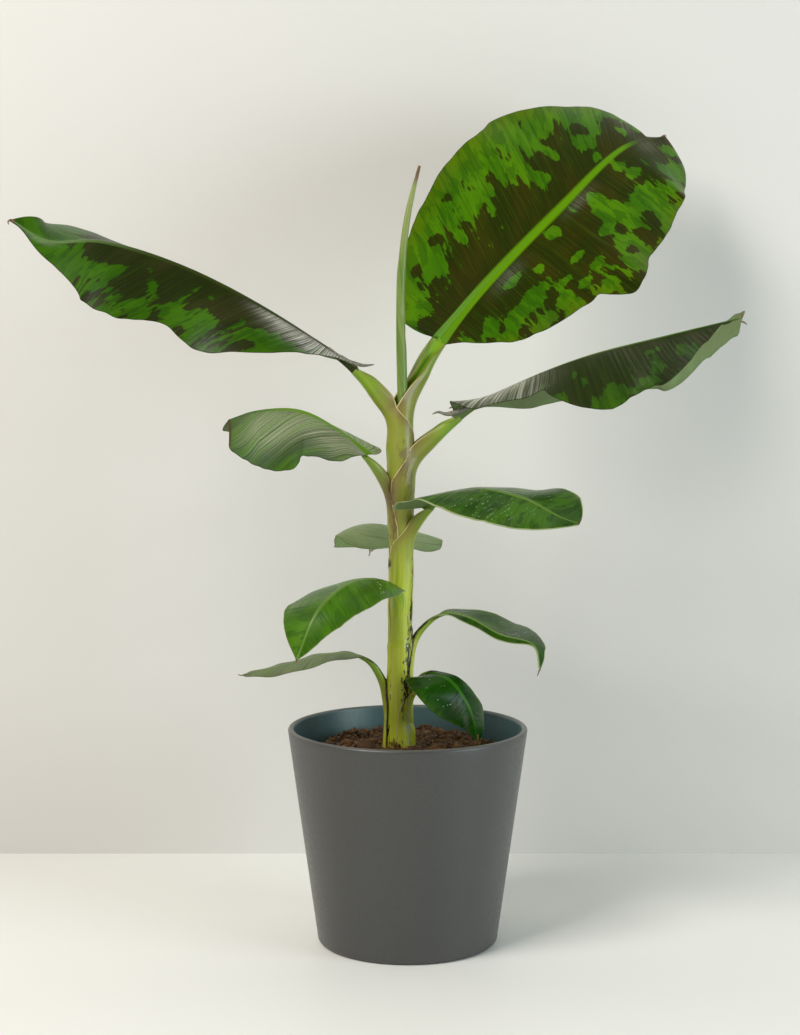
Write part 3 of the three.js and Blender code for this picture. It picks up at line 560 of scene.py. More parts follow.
            trim=[(0, 0.5), (0.2, 0.6), (0.4, 0.8), (0.6, 1), (0.75, 1.15), (1, 1.2)]),
        turn=235, front=[(8, 50), (15, 73), (29, 87), (39, 118), (60, 140)], back=[(10, 60), (40, 110)],
            pleats=(4, 0.22), edge=0.7, sink=3,
        bloom=[(132, 35, 7, 3, 0.4), (128, 29, 6, 3, 0.4), (123, 22, 6, 3, 0.4), (117, 14, 6, 3, 0.4),
            (110, 6, 6, 3, 0.4), (70, 9, 10, 2, 0.3), (42, 12, 14, 2, 0.35), (30, 20, 12, 2, 0.35)]),
    "leaf_8": dict(
        line=[(-16, -2, 215), (-22, -3, 245), (-27, -4, 276), (-44, -8, 300), (-80, -13, 304),
            (-125, -18, 294), (-170, -22, 284)],
        neck=281, stalk=97, radii=(7, 4.6, 3.6), face=[(0, -0.05, 1), (0, -0.05, 1)],
        left=half(30, 0.45, 0.5, 0.8, (5, 0, 0), (0, -10, -10), (-0.3, 0.4), [(0.8, 3.5, 0.2)]),
        right=half(32, 0.45, 0.5, 0.8, (-5, -3, 0), (0, -10, -10), (-0.3, 0.4), [(0.8, 4.1, 0.6)]),
        turn=180, front=[(10, 24), (30, 32), (80, 42)], back=[(10, 34), (60, 80)], aged=1, pleats=(4, 0.22),
        bloom=[(60, 0, 120, 60, 0.35)]),
    "leaf_9": dict(
        line=[(-1, 2, 262), (4, 2, 292), (10, 3, 321), (34, -4, 345), (60, -13, 344), (95, -28, 327),
            (129, -38, 317), (135, -41, 292)],
        neck=327, stalk=96, radii=(5, 3.6, 3.1), face=[(0, -0.2, 1), (0.2, -0.3, 1)],
        left=half(40, 0.55, 0.5, 0.8, (0, 0, 0), (0, -10, -10), (-0.3, 0.3), [(0.8, 3.4, 0.2)],
            trim=[(0, 0.5), (0.033, 0.57), (0.173, 0.72), (0.285, 0.87), (0.367, 1.08), (0.45, 1.22),
            (0.557, 1.25), (0.698, 1.08), (0.785, 0.83), (0.825, 0.71), (0.878, 0.46), (1, 0.4)]),
        right=half(17, 0.4, 0.4, 1.6, (-10, -10, -20), (0, -10, -10), (-0.3, 0.3), [(0.6, 3.9, 0.7)],
            trim=[(0, 0.3), (0.04, 0.28), (0.2, 0.63), (0.383, 0.55), (0.54, 0.53), (0.65, 0.7), (0.77, 0.37),
            (0.85, 0.2), (1, 0.2)]),
        turn=2, front=[(12, 20), (21, 30), (46, 54), (67, 70), (110, 84)], back=[(10, 30), (60, 90)], aged=1,
            pleats=(4, 0.25),
        bloom=[(55, -6, 16, 2, 0.4), (75, -10, 16, 2, 0.4), (10, -10, 14, 10, 0.3)]),
    "leaf_10": dict(
        line=[(-7, -2, 218), (0, -9, 250), (19, -23, 284), (43, -44, 282), (62, -50, 256), (71, -42, 219)],
        neck=274, stalk=78, radii=(9, 5, 4), face=[(0.3, -0.8, 0.6), (0.5, -0.8, 0.3)],
        left=half(17, 0.55, 0.5, 0.5, (-5, -10, -10), (0, -20, -10), (-0.3, 0.2), [(0.7, 3.3, 0.2)],
            trim=[(0, 0.6), (0.27, 0.67), (0.372, 0.84), (0.482, 1.06), (0.6, 1.15), (0.748, 1.5),
            (0.905, 1.5), (1, 1.7)]),
        right=half(41, 0.46, 0.45, 1.1, (40, 0, -10), (0, -20, -10), (-1.2, 0.5), [(0.9, 3.8, 0.5)],
            trim=[(0, 0.42), (0.06, 0.56), (0.15, 0.74), (0.28, 0.88), (0.435, 1), (0.53, 0.98), (0.605, 0.9),
            (0.713, 0.74), (0.797, 0.52), (0.9, 0.38), (1, 0.3)]),
        turn=340, front=[(8, 40), (15, 57), (31, 76), (51, 81), (74, 84)], back=[(10, 40), (60, 90)],
            pleats=(4, 0.25), sink=4,
        bloom=[(78, 8, 14, 3, 0.35), (62, 12, 5, 5, 0.2), (86, 20, 6, 4, 0.2)]),
}


def run_along(points):
    """How far along each row of points every point lies: the sum of the steps before it."""
    step = np.linalg.norm(np.diff(points, axis=-2), axis=-1)
    return np.concatenate([0 * step[..., :1], np.cumsum(step, -1)], -1)


def curve_through(points):
    """Centripetal Catmull-Rom curve through the points: knots lie the square root of the distance
    apart, and the ends are mirrored. Returns the path and the distance along it at each point."""
    p = np.asarray(points, float)
    held = np.vstack([2 * p[0] - p[1], p, 2 * p[-1] - p[-2]])
    knot = np.sqrt(np.linalg.norm(np.diff(held, axis=0), axis=1))
    t = np.linspace(0, len(p) - 1, CURVE_STEPS * (len(p) - 1) + 1)
    i = np.minimum(t.astype(int), len(p) - 2)
    f = (t - i)[:, None]
    p0, p1, p2, p3 = held[i], held[i + 1], held[i + 2], held[i + 3]
    d0, d1, d2 = knot[i][:, None], knot[i + 1][:, None], knot[i + 2][:, None]
    m1 = ((p1 - p0) / d0 - (p2 - p0) / (d0 + d1) + (p2 - p1) / d1) * d1
    m2 = ((p2 - p1) / d1 - (p3 - p1) / (d1 + d2) + (p3 - p2) / d2) * d1
    path = p1 + m1 * f + (3 * (p2 - p1) - 2 * m1 - m2) * f**2 + (2 * (p1 - p2) + m1 + m2) * f**3
    return path, run_along(path)


def columns_at(where, known, rows):
    """Each column of rows, given at known, read at where by straight blending."""
    return np.stack([np.interp(where, known, rows[:, k]) for k in range(rows.shape[1])], -1)


def leaf_frame(leaf, distance):
    """Place, direction, upper side and right side of a leaf's line at each distance. The upper side
    turns from stalk_face to the first face over the stalk, then to the second face over the blade,
    and is made square to the direction."""
    path, run = leaf["path"], leaf["run"]
    place = columns_at(distance, run, path)
    along = unit(columns_at(distance, run, np.gradient(path, run, axis=0)))
    u = np.clip((distance - leaf["stalk"]) / (run[-1] - leaf["stalk"]), 0, 1)[:, None]
    foot, tip = (unit(np.array(face, float)) for face in leaf["face"])
    stalk = unit(np.array(leaf.get("stalk_face", leaf["face"][0]), float))
    turned_in = smooth(distance / leaf["stalk"] * (1 + STALK_STEADY) - STALK_STEADY)[:, None]
    up = (stalk + (foot - stalk) * turned_in) * (1 - u) + tip * u
    up = unit(up - (up * along).sum(-1, keepdims=True) * along)
    return place, along, up, np.cross(along, up)


for leaf in LEAVES.values():
    leaf["path"], leaf["run"] = curve_through(leaf["line"])


# False trunk. It has no wood: it is the tight bundle of the leaf sheaths, so its core is only what
# shows between their margins. The sheaths below are laid over it, the oldest one outermost.
TRUNK_STATIONS = np.array([        # height, shift along X, radius
    (200, -9.5, 17.6), (247, -8.4, 15.7), (285, -8.4, 13.9), (325, -8.2, 13.1), (380, -7.3, 13.0),
    (433, -6.9, 13.7), (480, -7.2, 14.6), (520, -7.5, 14.6), (550, -7.0, 12.4), (568, -6.5, 8.0),
    (583, -6.0, 5.6),
])
CORE_INSET = 4.2         # how far the core lies inside the trunk's radius
CORE_TOP = 560
CORE_ROWS = 120
CORE_AROUND = 48
trunk_curve, _ = curve_through(TRUNK_STATIONS)


def trunk_at(height):
    """Shift along X and radius of the trunk at some heights."""
    return columns_at(height, trunk_curve[:, 0], trunk_curve[:, 1:]).T


def loft(rows):
    """Closed body over rows of ring points, shaped (row, point, 3). Point i of a ring lies opposite
    point n - 1 - i, so each end is closed by a ladder of quads between such pairs."""
    count, around = rows.shape[:2]
    sides = ring_quads(np.arange(count - 1) * around, around)
    k = np.arange(around // 2 - 1)
    ladder = np.stack([k, around - 1 - k, around - 2 - k, k + 1], -1)
    return rows.reshape(-1, 3), [np.vstack([sides, ladder, (count - 1) * around + ladder[:, ::-1]])]


def round_line(place, side, up, wide, high, turn):
    """A ring of points round each place of a line: place + side wide cos(turn) + up high sin(turn)."""
    return (place[:, None] + side[:, None] * (wide * np.cos(turn))[..., None]
            + up[:, None] * (high * np.sin(turn))[..., None])


def vectors(operation, first, second):
    """One Vector Math node on a socket and three numbers or another socket."""
    inputs = {0: first, 1: second}
    return add(first.id_data, "ShaderNodeVectorMath", inputs, operation=operation).outputs[0]


def stretched(vector, x, y, z=1):
    """A vector with its three numbers multiplied apart."""
    return vectors("MULTIPLY", vector, (x, y, z))


def way_along(tree):
    """The way across and along a piece, in metres, from its UV map."""
    return add(tree, "ShaderNodeUVMap", uv_map="along").outputs[0]


# Streaks: long fibres that run the way of a stalk, with slower changes of tone between them.
streaks, given, out = new_group(
    "streaks", {"Vector": ("Vector", None)}, {"Fibre": "Float", "Tone": "Float", "Fleck": "Float"},
)
streaks.links.new(noise(stretched(given["Vector"], 900, 26, 40), 1.0), out["Fibre"])
streaks.links.new(noise(stretched(given["Vector"], 190, 9, 10), 1.0, 3.0), out["Tone"])
streaks.links.new(noise(stretched(given["Vector"], 420, 130, 60), 1.0, 3.0, 0.65), out["Fleck"])

# Scar: a brown or black mark round one place on the trunk, broken up along the fibres.
SCAR_BROKEN = 2.4        # how much of the mark the fibres break up
scar, given, out = new_group(
    "scar",
    {"Vector": ("Vector", None), "Fleck": ("Float", 0.5), "Centre": ("Vector", (0, 0, 0)),
     "Reach": ("Vector", (0.01, 0.01, 0.01)), "Broken": ("Float", SCAR_BROKEN), "Amount": ("Float", 1.0)},
    {"Mask": "Float"},
)
spread = vectors("DIVIDE", vectors("SUBTRACT", given["Vector"], given["Centre"]), given["Reach"])
length = add(scar, "ShaderNodeVectorMath", {0: spread}, operation="LENGTH").outputs["Value"]
broken = times(maths("SUBTRACT", given["Fleck"], 0.5), given["Broken"])
broken = maths("SUBTRACT", broken, times(length, 0.45))
scar.links.new(times(ramp(broken, -0.3, -0.22), given["Amount"]), out["Mask"])

BLACK, BROWN, PURPLE = (0.014, 0.006, 0.006, 1), (0.13, 0.05, 0.012, 1), (0.16, 0.085, 0.05, 1)
CREAM = (0.5, 0.55, 0.28, 1)
SCARS = [        # place and reach in millimetres, strength, colour, and how broken if not SCAR_BROKEN
    ((-19.5, -6.0, 415), (2.0, 9, 14), 0.9, BROWN),
    ((-18.5, -8.0, 398), (2.0, 9, 6), 1.0, BLACK),
    ((-17.0, -10.0, 470), (4.0, 9, 26), 0.6, PURPLE),
    ((-14.0, -11.0, 440), (3.5, 9, 22), 0.55, BROWN),
    ((-4.0, -14.0, 512), (6.5, 9, 15), 0.6, PURPLE),
    ((2.0, -13.0, 488), (7.0, 9, 20), 0.45, PURPLE),
    ((-2.0, -13.0, 455), (3.0, 9, 14), 0.5, PURPLE),
    ((4.8, -10.0, 386), (1.1, 9, 22), 0.9, BROWN),
    ((4.2, -10.0, 336), (3.0, 30, 38), 0.9, BLACK, 1.6),
    ((0.6, -14.0, 300), (3.6, 30, 32), 0.95, BLACK, 1.6),
    ((-1.4, -14.0, 270), (5.2, 30, 26), 0.95, BLACK, 1.6),
    ((-6.0, -14.0, 279), (1.8, 9, 8), 0.8, BLACK),
    ((-4.5, -14.0, 296), (1.0, 9, 3), 0.9, BLACK),
    ((-18.0, -10.0, 270), (0.8, 9, 16), 0.85, BLACK),
    ((-5.0, -15.0, 246), (1.6, 9, 14), 0.7, BROWN),
    ((-20.5, -9.0, 222), (2.2, 9, 9), 1.0, BLACK),
    ((-13.0, -17.0, 209), (9.0, 30, 8), 0.9, BROWN, 2.0),
    ((-10.0, -17.0, 208), (4.0, 30, 8), 0.9, BLACK, 2.0),
    ((1.5, -15.0, 231), (4.5, 9, 30), 0.85, CREAM),
]


def sheath_material():
    """Waxy yellow-green with long fibres, greener in the stalks and on the inner side, browner high
    on the trunk and at its foot. Low on the trunk it is painted paler, painted light that makes up for
    the shade that falls there. A thin cream edge runs along each margin, black on the oldest
    leaves, with a purple-brown tint beside it, and a few old scars are brown or black."""
    material, tree, shader = new_material("leaf_sheath")
    place = object_place(tree)
    marks = use(streaks, tree, Vector=way_along(tree))
    margin, inner, fresh, aged = (read(tree, name) for name in ("margin", "inner", "fresh", "aged"))
    height = height_of(place)
    tone, fleck = plus(times(marks["Tone"], 0.75), times(marks["Fibre"], 0.25)), marks["Fleck"]
    high = ramp(height, 0.36, 0.47)
    # The layer by height from 0.27 m to 0.37 m is painted light: the trunk below it is painted paler, making
    # up for the shade that falls low on it.
    trunk = coats((0.5, 0.57, 0.05, 1), (ramp(tone, 0.32, 0.66), (0.27, 0.36, 0.014, 1)),
                  (ramp(height, 0.27, 0.37, 0.6, 0.0), (0.68, 0.72, 0.035, 1)),
                  (times(high, ramp(tone, 0.35, 0.6, 0.75, 0.5)), (0.17, 0.15, 0.035, 1)))
    stalk = blend(ramp(tone, 0.3, 0.7), (0.25, 0.43, 0.015, 1), (0.15, 0.32, 0.004, 1))
    beside = ramp(plus(margin, times(marks["Tone"], 6.0)), 4.0, 19.0, 1.0, 0.0)
    beside = times(times(beside, plus(times(high, 0.5), 0.12)), ramp(fresh, 0.0, 1.0, 1.0, 0.35))
    cream = blend(fresh, (0.62, 0.52, 0.22, 1), (0.2, 0.11, 0.05, 1))
    edge = times(ramp(margin, 0.6, 1.3, 0.95, 0.0), ramp(fresh, 0.0, 1.0, 1.0, 0.5))
    old_edge = times(times(ramp(margin, 1.0, 2.6, 0.95, 0.0), aged), ramp(fleck, 0.4, 0.5, 0.25, 1.0))
    foot = ramp(plus(height, times(fleck, 0.05)), 0.222, 0.24, 0.7, 0.0)
    colour = coats(trunk, (fresh, stalk), (times(inner, 0.85), (0.22, 0.41, 0.006, 1)),
                   (beside, (0.17, 0.085, 0.045, 1)),
                   (maths("MAXIMUM", edge, old_edge), blend(aged, cream, (0.03, 0.012, 0.008, 1))),
                   (foot, (0.19, 0.09, 0.03, 1)))
    for centre, reach, amount, tint, *own in SCARS:
        centre, reach = (tuple(MM * n for n in numbers) for numbers in (centre, reach))
        marked = use(scar, tree, Vector=place, Fleck=fleck, Centre=centre, Reach=reach,
                     Broken=(*own, SCAR_BROKEN)[0], Amount=amount)
        colour = blend(marked[0], colour, tint)
    wire(shader, colour, ramp(marks["Tone"], 0.3, 0.7, 0.3, 0.46), marks["Fibre"], 0.3, 0.0003)
    return material


stem_material = sheath_material()
core_height = np.linspace(TRUNK_STATIONS[0, 0], CORE_TOP, CORE_ROWS)
core_shift, core_radius = trunk_at(core_height)
core_place = np.stack([core_shift, 0 * core_shift, core_height], 1)
core_radius = (core_radius - CORE_INSET)[:, None]
core_turn = np.pi - (np.arange(CORE_AROUND) + 0.5) * 2 * np.pi / CORE_AROUND
x_axis, y_axis, _ = np.eye(3)[:, None]
core_points, core_faces = loft(round_line(core_place, x_axis, y_axis, core_radius, core_radius, core_turn))
core_uv = np.stack([np.arctan2(core_points[:, 1], core_points[:, 0]) * 0.014, core_points[:, 2] * MM], 1)
core_values = {key: np.full(len(core_points), value)
               for key, value in (("margin", 40), ("inner", 0), ("fresh", 0), ("aged", 0))}
make_piece("trunk_core", core_points, core_faces, stem_material, "stem", ["trunk"], core_values, core_uv)


# Sheaths and stalks. Each leaf's foot is a fleshy sheath that wraps the trunk, with two papery
# margins that climb to the side its leaf is on. Above its neck it narrows into a channelled stalk
# that carries the blade. The plant holds them together by nothing but their own wrap.
SHEATH_AROUND = 49
SHEATH_WALL = 1.5        # thickness at the middle, and at the margins
SHEATH_EDGE = 0.6
SHEATH_STEP = 0.9        # how much deeper each younger sheath lies under an older one
SHEATH_DEEPEST = 3.6
SHEATH_PROUD = 0.35      # how far an outermost sheath stands over the trunk's own radius
SHEATH_LEAVES_TRUNK = 58        # drops below the neck at which the sheath's middle and its margins
SHEATH_IS_STALK = 6             # leave the trunk's arc and have become the stalk
MARGIN_LEAVES_TRUNK = 24
MARGIN_IS_STALK = -4
STALK_RIM_TURN = 148     # where the channel's rims stand, in degrees from the keel
MIDRIB_RIM_TURN = 94
STALK_CHANNEL = 0.62     # depth of the channel as a share of the half width
MIDRIB_CHANNEL = 0.16
STALK_RIM = 0.13         # thickness of its rims, also as a share
STALK_DEPTH = 0.95       # how flat the keel's arc is
STALK_MORPH = 26         # the stretch before the blade over which stalk turns into midrib
OLD_TO_YOUNG = sorted(LEAVES, key=lambda name: LEAVES[name]["neck"])


def stalk_radius(leaf, neck_at, distance):
    """Half width: foot to neck by smoothstep, then a straight taper to the blade."""
    foot, neck, end = leaf["radii"]
    low = foot + (neck - foot) * smooth(distance / neck_at)
    high = neck + (end - neck) * (distance - neck_at) / (leaf["stalk"] - neck_at)
    return np.where(distance < neck_at, low, high)


def stalk_section(leaf, distance, radius, phi):
    """Outer and inner points of the channelled stalk. Outside: an arc of the half width that rises
    to the rims on both sides. Inside: a channel between the rims, flattened out over the last
    stretch so that the section ends as the midrib's."""
    place, along, up, across = leaf_frame(leaf, distance)
    flat = smooth((distance - leaf["stalk"] + STALK_MORPH) / STALK_MORPH)[:, None]
    rim_turn = np.radians(STALK_RIM_TURN + (MIDRIB_RIM_TURN - STALK_RIM_TURN) * flat)
    r = radius[:, None]
    turn = phi * rim_turn
    outer_x, outer_y = r * np.sin(turn), -STALK_DEPTH * r * np.cos(turn)
    rim_x, rim_y = r * np.sin(rim_turn), -STALK_DEPTH * r * np.cos(rim_turn)
    channel = r * (STALK_CHANNEL + (MIDRIB_CHANNEL - STALK_CHANNEL) * flat)
    inner_x = phi * (rim_x - STALK_RIM * r)
    inner_y = rim_y - channel * (1 - np.abs(phi) ** 2.4)
    lay = lambda x, y: place[:, None] - across[:, None] * x[..., None] + up[:, None] * y[..., None]
    return lay(outer_x, outer_y), lay(inner_x, inner_y)


def wrapped(leaf, height, phi, inset):
    """Outer and inner points of the sheath on the trunk, on arcs round the trunk's own axis. The
    arc reaches from the front margin to the back one, which fall away round the trunk with the
    drop below the neck, as the leaf's rows say."""
    drop = leaf["neck"] - height
    spread = [np.interp(drop, *np.array(leaf[side], float).T) for side in ("front", "back")]
    forward = 1 if 90 < leaf["turn"] % 360 < 270 else -1
    reach = np.where(phi * forward > 0, spread[0][:, None], spread[1][:, None])
    theta = np.radians(leaf["turn"] + phi * reach)
    shift, radius = trunk_at(height)
    outer = (radius + SHEATH_PROUD - inset)[:, None] + 0 * phi
    inner = outer - SHEATH_EDGE - (SHEATH_WALL - SHEATH_EDGE) * (1 - phi**4)
    level = np.broadcast_to(height[:, None], theta.shape)
    lay = lambda r: np.stack([shift[:, None] + r * np.cos(theta), r * np.sin(theta), level], -1)
    return lay(outer), lay(inner)


def ringed(upper, lower=None):
    """Each row of the upper side followed by the lower side's row backwards, as one ring."""
    return np.concatenate([upper, (upper if lower is None else lower)[:, ::-1]], 1)


def sheath_rows(name, leaf):
    """Rows of ring points from the sheath's foot to the blade, and their numbers for the material.
    Below the neck the ring is the trunk's arc, above it the stalk's section, with a smooth change
    between them, and fine ridges follow the fibres."""
    path, run, neck = leaf["path"], leaf["run"], leaf["neck"]
    leave = max(neck - SHEATH_LEAVES_TRUNK, leaf["line"][0][2] + 1)
    rising = slice(np.argmax(path[:, 2]))
    neck_at, leave_at = np.interp([neck, leave], path[rising, 2], run[rising])
    low = np.arange(TRUNK_STATIONS[0, 0] + 0.4, leave, 3.0)
    high = np.linspace(leave_at, leaf["stalk"] + 0.5, int((leaf["stalk"] - leave_at) / 1.6))
    place = columns_at(high, run, path)
    height = np.concatenate([low, place[:, 2]])
    distance = np.concatenate([np.full(len(low), leave_at), high])
    order = OLD_TO_YOUNG.index(name)
    older = [LEAVES[other]["neck"] for other in OLD_TO_YOUNG[:order]]
    covered = sum((smooth((top - 12 - height) / 18) for top in older), np.zeros(len(height)))
    inset = np.minimum(SHEATH_STEP * covered, SHEATH_DEEPEST)
    phi = np.linspace(-1, 1, SHEATH_AROUND)[None, :]
    on_trunk = wrapped(leaf, height, phi, inset)
    on_stalk = stalk_section(leaf, distance, stalk_radius(leaf, neck_at, distance), phi)
    middle = smooth((height - leave) / (neck - SHEATH_IS_STALK - leave))
    margins = smooth((height - neck + MARGIN_LEAVES_TRUNK) / (MARGIN_LEAVES_TRUNK - MARGIN_IS_STALK))
    above = np.arange(len(height)) >= len(low)
    middle, margins = (np.where(above, np.maximum.accumulate(part), 0)[:, None]
                       for part in (middle, margins))
    share = middle + (margins - middle) * phi**2
    outer, inner = (a * (1 - share[..., None]) + b * share[..., None] for a, b in zip(on_trunk, on_stalk))
    girth = run_along(outer)
    travel = run_along(outer[:, SHEATH_AROUND // 2])[:, None] + 0 * girth
    edge = np.minimum(girth, girth[:, -1:] - girth)
    girth = girth - girth[:, SHEATH_AROUND // 2, None]
    seed = 20 + order
    ridge = 0.09 * lumps(girth / 1.3, travel / 70, seed)
    ridge = ridge + 0.15 * lumps(girth / 7, travel / 38, seed + 20)
    ridge = ridge + 0.2 * np.exp(-edge / 1.2) * (1 - share) * (1 + lumps(travel / 9, 0 * edge, seed))
    centre = inner.mean(1, keepdims=True) * 0.5 + outer.mean(1, keepdims=True) * 0.5
    outer = outer + unit(outer - centre) * ridge[..., None]
    fresh = smooth((travel - travel[-1] + leaf["stalk"] - neck_at + 24) / 44)
    values = {
        "margin": ringed(edge), "inner": ringed(0 * girth, share), "fresh": ringed(fresh),
        "aged": ringed(0 * girth + leaf.get("aged", 0)),
    }
    uv = np.stack([ringed(girth) * MM + 0.37 * seed, ringed(travel) * MM], -1).reshape(-1, 2)
    return ringed(outer, inner), values, uv


for name in OLD_TO_YOUNG:
    sheath_ring, sheath_values, sheath_uv = sheath_rows(name, LEAVES[name])
    make_piece(name.replace("leaf", "sheath"), *loft(sheath_ring), stem_material, "stem",
               [name.replace("leaf", "stalk")], sheath_values, sheath_uv)


# Rolled leaf. The newest leaf comes up through the middle as a tight roll, its free edge winding
# round it. It is grey-green with wax, and its tip has dried to a ragged brown thread.
ROLLED_LINE = [(-5.5, 0, 556), (-6, 0, 583.8), (-7, -4, 640), (-6, -6, 705), (0, -6, 757), (12, -6, 805)]
ROLLED_RADII = [(0, 5.0), (0.12, 5.3), (0.33, 4.9), (0.6, 4.2), (0.8, 3.2), (0.93, 2.2), (1, 1.5)]
ROLLED_TURNS = 1.6       # how often the free edge winds round on its way up
ROLLED_STEP = 0.17       # how far the free edge stands over what it covers
ROLLED_LAP = 0.06        # share of the way round over which that edge steps up
ROLLED_ROWS = 210
ROLLED_AROUND = 64


def rolled_material():
    """Grey-green wax with fibres along it, painted paler over its upper part as a painted highlight,
    brown and dry over the last fifteenth of its length.
    """
    material, tree, shader = new_material("rolled_leaf")
    marks, rise = use(streaks, tree, Vector=way_along(tree)), read(tree, "rise")
    dried = ramp(plus(rise, times(marks["Fleck"], 0.06)), 0.93, 0.99)
    # The layer by rise from 0.55 to 0.8 is a painted highlight: the upper part of the roll is painted paler.
    colour = coats((0.1, 0.19, 0.02, 1), (ramp(marks["Tone"], 0.3, 0.7), (0.21, 0.28, 0.06, 1)),
                   (ramp(rise, 0.55, 0.8), (0.23, 0.28, 0.07, 1)), (dried, (0.13, 0.075, 0.025, 1)))
    wire(shader, colour, ramp(marks["Tone"], 0.3, 0.7, 0.34, 0.5), marks["Fibre"], 0.35, 0.0003)
    return material


def rolled_rows():
    """A ring round the line at each height. Its radius is the table's, times a step: up over the
    lap, then evenly down over the rest of the way round. The step's start winds round on the way
    up, and over the last tenth smooth random lumps make the ring ragged."""
    path, run = curve_through(ROLLED_LINE)
    part = np.linspace(0, 1, ROLLED_ROWS)
    place = columns_at(part * run[-1], run, path)
    part = part[:, None]
    along = unit(np.gradient(place, axis=0))
    up = unit(np.array([0, -1.0, 0]) + along * along[:, 1:2])
    lap = (np.arange(ROLLED_AROUND) + 0.5) / ROLLED_AROUND
    step = np.where(lap < ROLLED_LAP, lap / ROLLED_LAP, 1 - (lap - ROLLED_LAP) / (1 - ROLLED_LAP))
    ragged = 0.25 * lumps(lap * 9, part * 40, 31) * smooth((part - 0.9) / 0.1)
    radius = np.interp(part, *np.array(ROLLED_RADII).T)
    radius = radius * (1 - ROLLED_STEP / 2 + ROLLED_STEP * step + ragged)
    turn = 2 * np.pi * (lap + ROLLED_TURNS * part + 0.55)
    rows = round_line(place, np.cross(along, up), up, radius, radius, turn)
    uv = np.stack([lap * 0.03 + 0 * part, part * run[-1] * MM + 0 * lap], -1).reshape(-1, 2)
    return rows, {"rise": part + 0 * lap}, uv


rolled_ring, rolled_values, rolled_uv = rolled_rows()
make_piece("rolled_leaf_skin", *loft(rolled_ring), rolled_material(), "blade", ["rolled_leaf"],
           rolled_values, rolled_uv)


# Blades. Each is one thin leathery sheet, waxy above and paler below, pleated by side veins that
# run from the midrib to the margin. The upper four are blotched brown, the lower ones plain green.
# A blade grows out of its stalk, whose keel runs on under it as the midrib.
BLADE_STRIPS = 40
BLADE_ROW = 1.15         # length of the blade for each row of points
BLADE_EDGE_STRIP = 0.012        # the last strip's share of the half
BLADE_HALF = 0.36        # half the sheet's thickness
BLADE_FILLET = 0.9       # how much thicker it is beside the midrib
RIB_COLUMNS = np.array([0, 0.25, 0.5, 0.72, 0.9, 1.0])
BLADE_SINK = 1.5         # how far the blade's foot lies inside the stalk's end
ROLL_REACH = 0.22        # share of the half over which a rolled margin turns back
PLAIN_GREEN = [(-0.6, -0.6), (-0.6, -0.6)]


def through_three(u, settings):
    """Parabola through the settings at the foot, the middle and the tip."""
    foot, middle, tip = settings
    return foot * (1 - u) * (1 - 2 * u) + middle * 4 * u * (1 - u) + tip * u * (2 * u - 1)


def half_width(rule, u):
    """reach (1 - (1 - u/peak)^2)^foot up to the peak, then times (1 - ((u - peak)/(1 - peak))^2)^tip,
    and times the half's trim, a smooth curve through its factors, for lobes and notches."""
    rise = np.clip(u / rule["peak"], 0, 1)
    fall = np.clip((u - rule["peak"]) / (1 - rule["peak"]), 0, 1)
    width = rule["reach"] * (1 - (1 - rise) ** 2) ** rule["foot"] * (1 - fall**2) ** rule["tip"]
    trim, _ = curve_through(rule["trim"])
    return width * np.interp(u, trim[:, 0], np.maximum(trim[:, 1], 0.02))


def rib_radius(leaf, u):
    """The midrib loses most of the stalk's width in the first tenth of the blade."""
    return leaf["radii"][2] * (0.12 + 0.48 * (1 - u) + 0.4 * (1 - u) ** 12)


def blade_half(leaf, side, sign, spots, u, seed):
    """Points of one half as (row, column), with each one's distance out from the midline and its
    share of the way to the margin. The sheet leaves the midrib at the lift's angle, which the curl
    changes evenly and the roll changes over the outer part, and is added up strip by strip. It
    ripples towards the margin, and its veins sweep on towards the tip."""
    rule = leaf[side]
    place, along, up, across = (a[:, None] for a in spots)
    width, rib = half_width(rule, u)[:, None], rib_radius(leaf, u)[:, None]
    width = width * (1 + 0.012 * lumps(u[:, None] * 30, 0 * width, seed))
    whole = np.maximum(np.hypot(width, rib), rib + 0.5)
    strip = np.linspace(0, 1, BLADE_STRIPS + 1)[1:]
    strip = np.concatenate([strip[:-1], [1 - BLADE_EDGE_STRIP, 1]])
    out = np.concatenate([RIB_COLUMNS * rib, rib + strip * (whole - rib)], 1)
    v = out / whole
    lift = np.radians(through_three(u, rule["lift"]))[:, None]
    curl = np.radians(through_three(u, rule["curl"]))[:, None]
    rolls = np.array(rule["roll"], float)
    roll_start, roll = columns_at(u, rolls[:, 0], rolls[:, 1:]).T[..., None] * [[[1]], [[np.pi / 180]]]
    middle = (v[:, 1:] + v[:, :-1]) / 2
    angle = lift + curl * middle + roll * smooth((middle - roll_start) / ROLL_REACH)
    step = np.diff(out, axis=1)
    none = np.zeros((len(u), 1))
    outward = np.concatenate([none, np.cumsum(step * np.cos(angle), 1)], 1)
    upward = np.concatenate([none, np.cumsum(step * np.sin(angle), 1)], 1)
    fade = v**2 * np.minimum(1, width / (0.35 * rule["reach"]))
    for height, count, phase in rule["waves"]:
        upward = upward + height * np.sin(2 * np.pi * (count * u[:, None] + phase)) * fade
    forward = width * (rule["sweep"][0] + (rule["sweep"][1] - rule["sweep"][0]) * u)[:, None] * v**1.2
    points = (place + across * (sign * outward)[..., None] + up * upward[..., None]
              + along * forward[..., None])
    return points, out, np.clip((out - rib) / (whole - rib), 0, 1)


def spots_on(rows, along, out):
    """Sum of soft spots: strength exp(-(along/reach)^2 - (out/reach)^2) about each row's place."""
    total = np.zeros(out.shape)
    for a, o, reach_a, reach_o, strength in rows:
        total += strength * np.exp(-(((along - a) / reach_a) ** 2) - ((out - o) / reach_o) ** 2)
    return total


